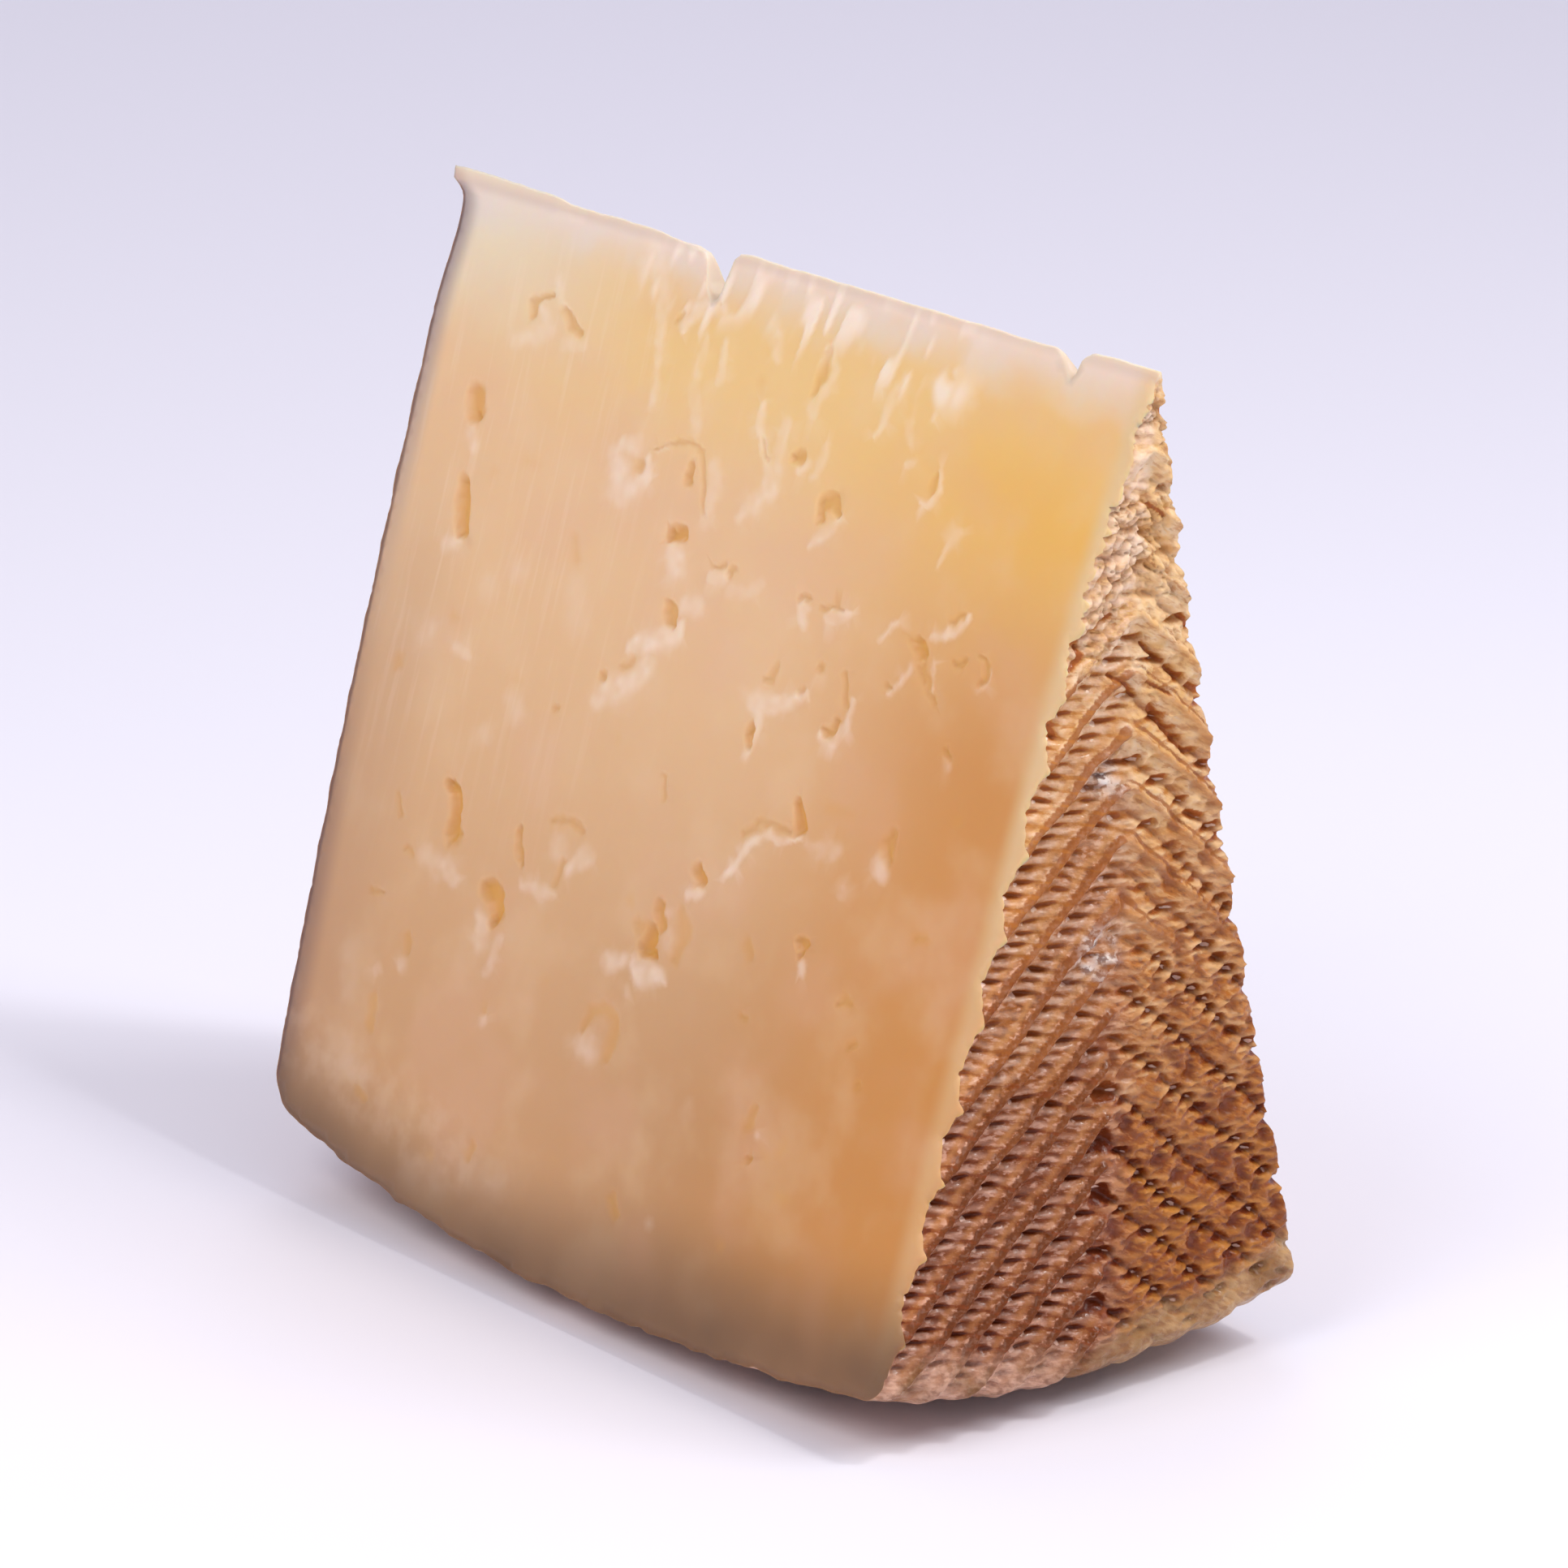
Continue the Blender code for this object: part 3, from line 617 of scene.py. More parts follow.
def plaited_wall(x, arc, length):
    width = 2 * WALL_HALF_WIDTH / BAND_COUNT
    fold = np.abs(((x + WALL_HALF_WIDTH) / width) % 2.0 - 1.0)
    phase = (arc - BAND_SLOPE * width * fold) / BAND_PITCH + 0.15 * lumps(x, arc, 6.0, 33)
    end = np.minimum(length, wall_length[-1] - length)
    spot = np.hypot(x / SPOT_REACH[0], arc / SPOT_REACH[1])
    cut_side = ramp(HALF_ANGLE * WALL_RADIUS - np.abs(arc), 0.0, 6.0)
    fade = ramp(end, 0.0, 9.0) * ramp(spot, 0.8, 1.3) * (0.2 + 0.8 * cut_side)
    wave = np.cos(2 * math.pi * phase)
    straw = np.cos(2 * math.pi * x / STRAW_PITCH)
    height = fade * (BAND_HEIGHT * wave + 0.12 * straw + 0.3 * crumbs(x, arc, 5.0, 34))
    crags = 0.24 * crumbs(x, arc, 2.6, 36) + 0.12 * lumps(x, arc, 1.3, 37)
    height += crags * ramp(end, 0.0, 4.0) * ramp(spot, 0.9, 1.2)
    # The second value marks the band's hollows, which the rind's colours darken as painted shade
    return height, np.clip(0.45 - 0.8 * wave, 0, 1) * fade


# %% [markdown]
# ## Places on the wedge
#
# A point of the section at distance r from the axis, turned by an angle, is a place on the
# wedge. The flat faces are easier to fill as flat triangular sheets (across, down), and the
# wall as a strip (length along the outline, arc round the wheel). Each sheet has a function
# that lifts its flat points into place, relief and all.

# %% Lifting flat points into place


def turned(x, r, angle):
    return np.stack((x + 0 * angle, r * np.sin(angle), -r * np.cos(angle)), -1)


def place_right(across, down):
    height, _ = pressed_face(across, down)
    return np.stack((right_face(np.hypot(across, down)) + height, across, -down), -1)


def place_left(across, down):
    height, _ = worn_face(across, down)
    return np.stack((left_face(np.hypot(across, down)) - height, across, -down), -1)


def place_wall(length, arc):
    angle = arc / WALL_RADIUS
    x, r, nx, nr = (
        np.interp(length, wall_length, values)
        for values in (wall_line[:, 0], wall_line[:, 1], wall_normal[:, 0], wall_normal[:, 1])
    )
    band, _ = plaited_wall(x, arc, length)
    pressed, _ = pressed_face(r * np.sin(angle), r * np.cos(angle))
    worn, _ = worn_face(r * np.sin(angle), r * np.cos(angle))
    height = band + pressed * ramp(nx, 0.3, 1.0) + worn * ramp(-nx, 0.3, 1.0)
    place = turned(x + nx * height, r + nr * height, angle)
    place[..., 2] = np.maximum(place[..., 2], FLAT_SPOT - WALL_RADIUS)
    return place


# %% [markdown]
# ## The thin edge
#
# The tip of a wedge is where a knife drags most: it is less than a millimetre thick, a
# little wavy, and two nicks have broken out of it. The far corner is pulled up into a small
# lip. One function gives the depth of the edge, and one its crest.

# %% Depth and crest of the thin edge
EDGE_CREST = 0.32
WIDE_NICK = (-10.1, 4.8, (-4.2, -2.4, -1.7, -1.2, -0.4, 0.4, 0.9, 1.4, 2.2),
             (0.0, 0.10, 0.42, 0.80, 1.0, 0.95, 0.55, 0.12, 0.0))
SMALL_NICK = (40.3, 2.5, (-3.0, -1.6, -0.5, 0.0, 0.4, 0.9, 2.0), (0.0, 0.22, 0.75, 1.0, 0.75, 0.3, 0.0))
EDGE_WAVE_X = (-53, -50, -36, -34.5, -20, -14, -6, 6, 20, 36, 43, 50)
EDGE_WAVE = (0.9, 1.0, 0.75, 0.35, 0.15, -0.45, 0.35, 0.1, 0.0, -0.25, 0.3, 0.35)


def edge_depth(x):
    depth = EDGE_DEPTH + 0.12 * crumbs(x, 0.0, 3.0, 41)
    for middle, deep, offsets, parts in (WIDE_NICK, SMALL_NICK):
        ragged = x - middle + 0.2 * lumps(x, 0.0, 0.9, 42)
        depth = depth + deep * np.interp(ragged, offsets, parts)
    return depth


def place_edge(x, part):
    depth = edge_depth(x)
    crest = (EDGE_CREST + np.interp(x, EDGE_WAVE_X, EDGE_WAVE)) * (1 - part ** 2)
    place = turned(x, depth, part * HALF_ANGLE)
    place[..., 2] = -depth * math.cos(HALF_ANGLE) + crest
    return place


# %% [markdown]
# ## Eyes and torn flakes of the front cut
#
# Gas leaves small eyes in the paste, and the knife tears their lower lips and drags pale
# crumbs after it. Few of them are round, so each one is a stroke, as a pen would draw it:
# first how deep an eye is or how white a flake is, then points along it, each with its
# place along the axis, its distance below the thin edge, and the radius of the pen there.
# Noise then roughens every outline. Under the thin edge the knife has torn a whole zone
# into fibres, and that zone is noise alone.

# %% Eyes: depth, then points along a stroke as (x, r, radius)
EYES = (
    (0.7, (-36.5, 11.7, 0.8), (-36.8, 10.5, 0.6), (-35.5, 9.5, 0.6), (-34.0, 9.1, 0.5)),
    (0.7, (-31.8, 10.4, 0.6), (-30.5, 11.2, 0.8), (-28.5, 11.9, 0.4)),
    (1.1, (-42.3, 20.9, 1.4), (-41.8, 22.6, 1.6)), (1.5, (-41.7, 23.0, 0.9), (-41.4, 23.2, 0.8)),
    (1.3, (-41.3, 30.0, 1.0), (-40.4, 32.5, 1.4), (-39.9, 34.2, 1.0)),
    (0.9, (-8.1, 21.2, 0.6), (-7.8, 22.4, 0.8)),
    (0.35, (-13.3, 20.8, 0.3), (-11.5, 19.6, 0.4), (-8.5, 18.9, 0.3), (-6.8, 19.8, 0.4),
     (-5.8, 22.0, 0.4), (-5.0, 24.3, 0.6), (-4.5, 25.5, 0.4)),
    (1.3, (-8.6, 28.1, 0.6), (-7.8, 27.7, 0.9), (-6.7, 27.5, 0.8)), (0.5, (-15.4, 22.7, 1.0)),
    (0.9, (-6.9, 34.5, 0.7), (-6.0, 35.5, 1.0), (-5.2, 36.3, 0.6)), (0.6, (-13.6, 43.2, 0.7)),
    (0.35, (-11.0, 41.5, 0.5), (-9.8, 40.8, 0.7)), (0.5, (-19.2, 48.0, 0.5), (-18.6, 47.7, 0.4)),
    (0.3, (-9.8, 48.5, 0.8)), (0.25, (-33.0, 25.2, 0.5), (-30.5, 25.0, 0.6)),
    (0.3, (-37.2, 28.1, 0.4), (-36.3, 27.6, 0.4)), (0.4, (-44.7, 49.0, 1.1)), (0.3, (-26.0, 46.5, 0.9)),
    (0.25, (-38.0, 42.5, 0.8), (-36.3, 43.5, 0.6)), (0.25, (-22.3, 32.0, 0.8), (-21.0, 34.0, 0.8)),
    (0.35, (-1.4, 50.5, 0.5), (-0.8, 52.3, 0.5)), (0.8, (6.0, 17.5, 0.6), (7.0, 17.0, 0.7)),
    (0.4, (-1.2, 29.8, 0.4), (0.2, 29.2, 0.4)), (0.5, (1.1, 29.9, 0.6), (1.6, 29.2, 0.5)),
    (0.3, (1.2, 16.8, 0.3), (2.5, 18.2, 0.4)),
    (0.9, (11.5, 22.2, 0.7), (11.6, 20.8, 1.0), (13.0, 20.1, 0.7), (14.0, 21.0, 0.4)),
    (0.6, (11.9, 30.2, 0.6), (12.8, 29.7, 0.5)),
    (0.45, (15.0, 30.0, 0.4), (16.4, 29.9, 0.4), (17.5, 29.8, 0.3)),
    (1.1, (28.5, 30.6, 0.9), (29.5, 31.0, 0.9)),
    (0.5, (30.0, 32.2, 0.5), (31.5, 33.8, 0.5), (32.5, 35.2, 0.4)),
    (0.4, (32.5, 27.8, 0.4), (34.0, 26.5, 0.4)), (0.5, (34.3, 30.8, 0.4), (35.3, 30.6, 0.5)),
    (0.5, (37.2, 29.8, 0.4), (38.4, 30.4, 0.5), (38.4, 31.5, 0.4), (37.9, 32.2, 0.3)),
    (0.4, (26.0, 34.8, 0.4), (26.8, 35.3, 0.4)),
    (0.5, (19.9, 35.3, 0.4), (20.9, 36.8, 0.6), (21.5, 37.9, 0.5)),
    (0.8, (18.9, 40.8, 0.4), (20.2, 40.7, 0.7), (20.4, 39.8, 0.5)), (0.5, (16.8, 35.3, 0.7)),
    (0.45, (14.9, 38.3, 0.6)), (0.5, (9.3, 38.4, 0.4), (10.3, 38.0, 0.8), (10.6, 36.8, 0.5)),
    (1.1, (9.0, 43.3, 0.7), (9.2, 44.6, 0.6)), (0.5, (36.0, 38.8, 0.6), (36.5, 39.3, 0.4)),
    (0.3, (26.9, 40.3, 0.5)), (0.3, (39.3, 44.9, 0.5)),
    (1.4, (17.8, 48.3, 0.5), (18.4, 49.3, 0.8), (18.9, 50.3, 1.0)),
    (0.4, (11.5, 52.6, 0.6), (13.5, 51.4, 0.5), (17.5, 50.8, 0.4)),
    (0.25, (22.0, 47.9, 0.4), (24.0, 47.4, 0.5), (25.6, 47.6, 0.3)), (0.25, (23.9, 49.5, 0.6)),
    (0.65, (31.3, 47.6, 0.6), (31.0, 49.0, 1.2), (31.6, 50.2, 0.8)),
    (1.5, (-32.9, 58.7, 0.6), (-31.2, 59.4, 0.9), (-30.4, 61.5, 1.1), (-30.2, 63.6, 1.3)),
    (0.8, (-20.2, 60.6, 0.6), (-19.6, 62.4, 0.8), (-18.7, 63.8, 0.5)),
    (1.3, (-23.6, 67.0, 0.9), (-21.6, 67.6, 1.4), (-21.0, 69.0, 1.1), (-21.4, 70.3, 0.4)),
    (0.45, (-16.0, 58.3, 0.4), (-13.0, 57.6, 0.6), (-11.3, 58.3, 0.6)),
    (0.35, (-12.9, 61.5, 0.5), (-13.2, 63.8, 0.5)), (0.35, (-40.2, 61.8, 0.4), (-38.9, 63.2, 0.6)),
    (0.35, (-37.0, 66.4, 0.5), (-35.5, 66.9, 0.5)),
    (0.4, (-41.0, 71.8, 0.3), (-40.0, 71.7, 0.5), (-38.8, 71.6, 0.3)),
    (0.4, (-33.6, 74.5, 0.5), (-33.1, 75.9, 0.6)), (0.3, (-19.5, 78.8, 0.5)),
    (0.25, (-11.8, 73.0, 0.6)), (0.4, (-36.7, 82.0, 0.8), (-36.3, 84.5, 0.9)),
    (0.35, (-36.0, 91.4, 0.6), (-34.5, 91.5, 0.6)), (0.35, (-16.7, 91.3, 0.6), (-17.1, 92.8, 0.7)),
    (0.25, (-23.3, 93.7, 0.6), (-22.2, 94.4, 0.6)), (0.25, (-4.8, 89.6, 0.7)),
    (0.25, (-2.5, 63.1, 0.6)), (1.3, (6.3, 57.8, 0.9), (7.1, 58.5, 0.9)), (0.3, (10.0, 59.0, 0.6)),
    (1.0, (2.2, 62.5, 0.9), (3.2, 64.0, 1.0)),
    (1.7, (1.9, 65.4, 1.3), (1.4, 66.9, 0.9), (3.0, 66.8, 0.6)),
    (0.45, (-0.2, 64.5, 0.9), (1.0, 65.0, 1.2)),
    (0.45, (5.5, 62.0, 0.8), (6.5, 64.0, 1.3), (6.3, 66.5, 0.9)),
    (0.4, (15.2, 62.3, 0.7), (16.3, 63.8, 0.7)),
    (0.9, (22.2, 60.6, 0.5), (23.2, 60.5, 0.6), (22.8, 61.5, 0.5)),
    (0.45, (29.4, 64.8, 0.4), (30.2, 64.0, 0.5), (31.1, 64.1, 0.4)),
    (0.4, (32.4, 68.0, 0.6), (33.2, 67.4, 0.5)), (0.35, (17.2, 69.4, 0.5), (18.0, 69.4, 0.4)),
    (0.35, (34.7, 71.2, 0.6)), (0.35, (37.4, 56.6, 0.6), (38.4, 55.6, 0.6)),
    (0.45, (-4.8, 76.5, 0.5), (-4.0, 74.5, 0.7), (-2.5, 73.6, 0.7), (-0.5, 74.3, 0.8), (0.0, 76.0, 1.0),
     (-0.6, 78.3, 0.6)), (0.5, (21.8, 76.8, 0.5), (21.5, 78.5, 1.1)), (0.9, (22.6, 82.0, 0.5)),
    (0.25, (25.0, 80.8, 0.7), (27.0, 79.6, 0.6)), (0.45, (5.0, 90.6, 0.9), (6.0, 92.0, 0.9)),
    (0.25, (21.3, 90.6, 0.8)), (0.2, (27.5, 83.6, 0.5), (29.5, 84.0, 0.4)),
    (0.5, (7.6, 7.3, 0.8), (7.3, 8.8, 0.9), (6.8, 11.0, 0.6)),
    (0.3, (-0.9, 11.5, 0.5), (-0.6, 13.0, 0.5)), (0.4, (26.0, 15.2, 0.4), (25.8, 16.3, 0.6)),
    (0.3, (-13.6, 7.0, 0.3), (-14.8, 8.5, 0.3)), (0.4, (-9.6, 5.3, 0.6)),
)

# %% Torn flakes and drag marks: whiteness, then points along a stroke
FLAKES = (
    (0.5, (-35.0, 11.0, 0.5), (-34.0, 11.5, 0.7), (-33.0, 12.5, 0.7), (-34.5, 13.5, 1.0),
     (-38.0, 14.5, 0.9)), (0.4, (-30.5, 13.5, 0.8), (-27.5, 13.0, 0.5)),
    (0.6, (-36.0, 0.6, 0.5), (-34.0, 1.3, 0.5), (-32.0, 1.2, 0.5)),
    (0.5, (-33.5, 7.5, 0.6), (-32.5, 9.0, 0.6), (-31.5, 10.0, 0.4)),
    (0.5, (-20.8, 1.0, 0.9), (-19.5, 3.5, 1.1), (-17.5, 6.5, 0.9), (-16.8, 9.0, 0.6),
     (-16.2, 13.0, 0.5), (-15.5, 16.5, 0.8)),
    (0.7, (-9.0, 5.9, 0.8), (-12.0, 6.6, 0.8), (-14.0, 9.0, 0.4)),
    (0.4, (-10.2, 9.0, 0.5), (-10.2, 14.0, 0.6), (-8.6, 17.5, 0.9)),
    (0.5, (-7.2, 9.0, 0.5), (-6.8, 12.5, 0.5)), (0.6, (-0.2, 6.5, 0.7), (0.4, 8.8, 0.6)),
    (0.55, (8.5, 6.0, 0.4), (9.2, 8.0, 0.5), (8.0, 11.0, 0.6), (7.2, 12.6, 0.8)),
    (0.6, (0.2, 13.5, 0.4), (0.4, 15.5, 0.6), (1.4, 17.2, 0.5), (2.6, 18.6, 0.7), (4.0, 21.0, 1.0),
     (2.0, 22.8, 1.0), (0.3, 24.8, 0.5)), (0.5, (4.0, 14.5, 0.6), (3.8, 17.0, 0.7), (4.4, 19.5, 0.9)),
    (0.5, (10.5, 15.5, 0.5), (9.8, 17.5, 0.7), (9.2, 18.8, 0.4)),
    (0.6, (7.0, 18.4, 0.5), (8.2, 17.5, 0.5)),
    (0.55, (18.8, 7.5, 0.7), (17.9, 9.5, 0.7), (17.0, 12.0, 0.5), (16.6, 13.5, 0.3)),
    (0.5, (20.7, 11.2, 0.6), (21.2, 12.8, 0.5)), (0.5, (21.6, 14.9, 0.4), (22.7, 14.3, 0.4)),
    (0.5, (24.4, 6.0, 0.4), (24.2, 8.8, 0.5), (23.5, 10.4, 0.3)),
    (0.5, (25.6, 5.0, 0.5), (26.2, 7.2, 0.6)),
    (0.65, (26.5, 14.6, 0.3), (27.0, 16.0, 0.4), (26.2, 17.6, 0.5), (25.0, 17.8, 0.3)),
    (0.5, (30.8, 19.5, 0.5), (29.8, 21.2, 0.5), (29.0, 23.3, 0.3)),
    (0.65, (14.4, 21.3, 0.4), (13.2, 23.0, 0.7), (11.0, 25.2, 0.4)),
    (0.6, (-1.5, 30.8, 0.5), (0.2, 30.4, 0.7)),
    (0.35, (1.5, 31.5, 0.7), (4.5, 31.0, 0.6), (6.0, 29.5, 0.5)),
    (0.7, (12.5, 30.9, 0.8), (12.8, 31.9, 0.7)),
    (0.65, (16.0, 30.9, 0.5), (17.8, 30.3, 0.6), (18.8, 29.9, 0.3)),
    (0.6, (25.3, 29.2, 0.4), (23.6, 31.2, 0.3)),
    (0.8, (34.7, 26.6, 0.3), (34.0, 28.0, 0.5), (32.5, 28.7, 0.6), (30.7, 29.6, 0.4)),
    (0.55, (31.4, 31.5, 0.3), (32.0, 34.0, 0.3)),
    (0.6, (28.6, 32.5, 0.4), (27.8, 34.5, 0.4), (26.8, 35.9, 0.4)),
    (0.4, (38.9, 30.8, 0.3), (38.7, 32.0, 0.3), (37.9, 32.9, 0.3)), (0.4, (36.3, 40.3, 0.7)),
    (0.65, (22.1, 37.8, 0.4), (21.9, 40.0, 0.5), (21.0, 41.8, 0.5), (18.7, 41.7, 0.5)),
    (0.7, (15.8, 38.5, 0.4), (14.0, 39.4, 0.7), (11.0, 40.5, 0.9), (8.8, 40.8, 1.0), (9.7, 42.0, 0.7),
     (9.9, 44.5, 0.5), (9.2, 45.9, 0.6)), (0.3, (17.0, 36.8, 0.8)),
    (0.7, (30.5, 51.1, 1.0), (31.4, 51.9, 0.8)), (0.5, (26.6, 54.9, 0.6)),
    (0.75, (19.3, 51.4, 0.3), (17.0, 52.2, 0.4), (14.5, 52.4, 0.5), (12.8, 53.5, 0.5),
     (11.5, 56.0, 0.4), (10.2, 57.6, 0.4)),
    (0.4, (20.5, 51.5, 0.6), (22.5, 52.0, 0.8), (24.5, 51.2, 0.8)),
    (0.8, (6.0, 60.3, 0.5), (7.6, 59.9, 0.6)),
    (0.85, (0.8, 68.7, 0.8), (2.6, 69.1, 1.2), (4.5, 68.7, 0.9), (5.5, 69.0, 0.4)),
    (0.6, (-3.0, 69.4, 1.0), (-1.0, 68.6, 0.8)), (0.4, (4.7, 65.0, 0.9)), (0.4, (3.9, 62.6, 0.5)),
    (0.65, (23.6, 62.6, 0.6), (24.0, 63.4, 0.4)), (0.4, (0.3, 71.3, 0.6)), (0.25, (12.6, 79.8, 0.8)),
    (0.3, (11.4, 91.3, 0.5)), (0.4, (22.9, 79.6, 0.5)), (0.55, (-30.4, 66.6, 0.9), (-28.4, 67.6, 0.8)),
    (0.35, (-33.2, 66.4, 1.2), (-31.0, 67.0, 1.2)), (0.5, (-23.6, 69.7, 0.7), (-22.5, 71.2, 0.9)),
    (0.4, (-22.4, 72.4, 1.1)), (0.4, (-19.8, 71.3, 0.6), (-20.4, 75.0, 0.6)),
    (0.6, (-9.5, 60.5, 1.0), (-11.8, 62.0, 0.9)), (0.35, (-14.0, 60.8, 1.3)),
    (0.6, (-13.2, 65.1, 0.5), (-15.2, 65.5, 0.8), (-18.0, 65.7, 0.4)), (0.5, (-19.4, 79.6, 0.6)),
    (0.45, (-33.2, 77.7, 0.8)), (0.4, (-36.8, 79.0, 0.7)), (0.45, (-4.0, 77.7, 1.2), (-2.6, 78.3, 1.2)),
    (0.16, (-40.5, 88.0, 1.9), (-36.0, 89.3, 1.7)), (0.12, (-25.0, 96.5, 1.6), (-20.5, 96.0, 1.8)),
    (0.15, (-11.5, 93.5, 1.6), (-17.0, 94.6, 1.4)), (0.15, (-41.0, 82.0, 1.5), (-42.0, 78.5, 1.3)),
    (0.65, (-19.5, 22.3, 0.9), (-18.6, 21.2, 0.7), (-16.4, 20.6, 0.9)),
    (0.75, (-18.2, 23.5, 1.2), (-17.5, 25.4, 1.5), (-15.3, 25.3, 1.1), (-14.0, 23.6, 0.6),
     (-14.3, 21.8, 0.5)), (0.5, (-4.6, 20.5, 0.8), (-3.8, 23.0, 1.0), (-4.1, 26.0, 0.7)),
    (0.5, (-12.8, 20.9, 0.4), (-11.8, 20.0, 0.5)), (0.75, (-7.6, 29.7, 1.2), (-6.8, 31.0, 1.3)),
    (0.5, (-4.5, 34.2, 0.8), (-2.5, 34.0, 1.0)),
    (0.8, (-10.4, 39.4, 0.6), (-8.6, 38.9, 1.1), (-6.3, 38.1, 1.2), (-4.5, 37.5, 0.8),
     (-3.9, 36.0, 0.5)),
    (0.65, (-7.5, 41.0, 1.2), (-9.5, 43.2, 1.2), (-12.0, 44.4, 1.3), (-13.6, 45.9, 0.9)),
    (0.5, (-41.8, 24.8, 0.8), (-40.8, 25.9, 0.8)), (0.5, (-41.5, 36.2, 0.9), (-40.0, 35.8, 0.7)),
    (0.3, (-33.6, 39.0, 1.3)), (0.35, (-41.0, 45.2, 1.2)),
    (0.4, (-36.5, 45.8, 0.6), (-34.0, 46.0, 0.5)), (0.35, (-28.6, 52.8, 1.1)),
    (0.3, (-26.0, 48.5, 1.0), (-24.5, 50.0, 0.9)), (0.25, (-20.5, 36.5, 1.6), (-19.0, 39.0, 1.6)),
    (0.3, (-29.6, 36.3, 1.2)),
)


# %% Adding the strokes up


def near_stroke(points, x, r, margin):
    xs, rs, sizes = zip(*points)
    reach = max(sizes) * 1.6 + margin
    inside = (x > min(xs) - reach) & (x < max(xs) + reach)
    return np.nonzero(inside & (r > min(rs) - reach) & (r < max(rs) + reach))[0]


def add_strokes(eyes, flakes, x, r, seed):
    rag_x = x + 0.34 * lumps(x, r, 1.5, seed) + 0.18 * lumps(x, r, 0.6, seed + 1)
    rag_r = r + 0.34 * lumps(x, r, 1.5, seed + 2) + 0.18 * lumps(x, r, 0.6, seed + 3)
    eye, dip, flake = np.zeros_like(x), np.zeros_like(x), np.zeros_like(x)
    for depth, *points in eyes:
        at = near_stroke(points, x, r, 0.7)
        spread = stroke_spread(points, rag_x[at], rag_r[at])
        bowl = 1 - ramp(spread, 0.15, 1.2)
        dip[at] = np.maximum(dip[at], depth * bowl)
        shade = (1 - ramp(spread, 0.2, 1.25)) * min(1.0, 0.12 + depth * 0.65)
        eye[at] = np.maximum(eye[at], shade)
    for white, *points in flakes:
        at = near_stroke(points, x, r, 0.9)
        spread = stroke_spread(points, rag_x[at], rag_r[at])
        flake[at] = np.maximum(flake[at], white * (1 - ramp(spread, 0.25, 1.75)))
    flake *= 0.8 + 0.35 * lumps(x, r, 0.9, seed + 4)
    return eye, dip, flake


# %% Height and masks of a cut, and the torn zone of the front one
EYE_DEPTH = 0.62
FLAKE_HEIGHT = 0.20
TORN_ZONE = (-21.0, 28.0, 9.0)


def cut_relief(x, r, eye, dip, flake, sway_seed, crumb_seed):
    height = 0.22 * lumps(x, r, 26.0, sway_seed) + 0.05 * crumbs(x, r, 5.0, crumb_seed)
    height += FLAKE_HEIGHT * flake * (1 - eye) - EYE_DEPTH * dip
    return height, {"hollow": eye, "raised": flake * (1 - 0.8 * eye)}


def front_cut(x, r):
    eye, dip, flake = add_strokes(EYES, FLAKES, x, r, 51)
    low, high, deep = TORN_ZONE
    zone = ramp(x, low - 2, low + 2) * (1 - ramp(x, high - 2, high + 2))
    zone *= 1 - ramp(r + 2.4 * lumps(x, 0.0, 2.2, 56), deep - 3.5, deep)
    fibre = ramp(lumps(x + 0.25 * r, r / 3.5, 1.1, 57), -0.15, 0.6)
    return cut_relief(x, r, eye, dip, np.maximum(0.85 * flake, zone * fibre), 3, 55)


print("eyes:", len(EYES), "torn flakes:", len(FLAKES))

# %% [markdown]
# ## The hidden back cut
#
# The same knife went through the same curd, so the cut that faces away has eyes of the same
# kinds and sizes. Their places are drawn at random from a fixed seed: a stroke of two
# points, and a pale torn lip below it.

# %% Eyes of the back cut
BACK_COUNT = 54
back_draw = np.random.default_rng(7)


def drawn_eye():
    x, r, size = back_draw.uniform((-43, 12, 0.4), (40, 92, 1.9))
    turn, far = back_draw.uniform(-1.4, 1.4), size * back_draw.uniform(0.3, 2.4)
    x2, r2 = x + far * math.sin(turn), r + far * math.cos(turn)
    size2, white, torn = size * back_draw.uniform((0.4, 0.1, 0.4), (0.9, 0.45, 3.0))
    lip = (white, (x2 - size, r2 + size2 * 1.1, size * 0.4), (x2 + torn, r2 + size2 * 1.2, size * 0.5))
    return (0.3 + 0.5 * size, (x, r, size * 0.7), (x2, r2, size2)), lip


BACK_FEATURES = [drawn_eye() for _ in range(BACK_COUNT)]
BACK_EYES = [eye for eye, _ in BACK_FEATURES]
BACK_FLAKES = [lip for _, lip in BACK_FEATURES]


def back_cut(x, r):
    return cut_relief(x, r, *add_strokes(BACK_EYES, BACK_FLAKES, x, r, 61), 4, 65)


# %% [markdown]
# ## Filling the sheets with triangles
#
# Smooth paste needs few triangles and a torn nick needs many. So each sheet is a flat
# outline filled with points, close together where something happens and far apart elsewhere,
# and Blender's Delaunay triangulation joins them up. Neighbouring sheets use the same points
# along the edge they share, and merging those points closes the mesh.

# %% Points for a sheet
FINE = 0.35
RIND_SPACING = 0.252


def honeycomb(low, high, spacing):
    rows = np.arange(low[1], high[1], spacing * 0.866)
    cols = np.arange(low[0], high[0], spacing)
    u, v = np.meshgrid(cols, rows)
    u = u + (np.arange(len(rows)) % 2)[:, None] * spacing / 2
    return pairs(u.ravel(), v.ravel())


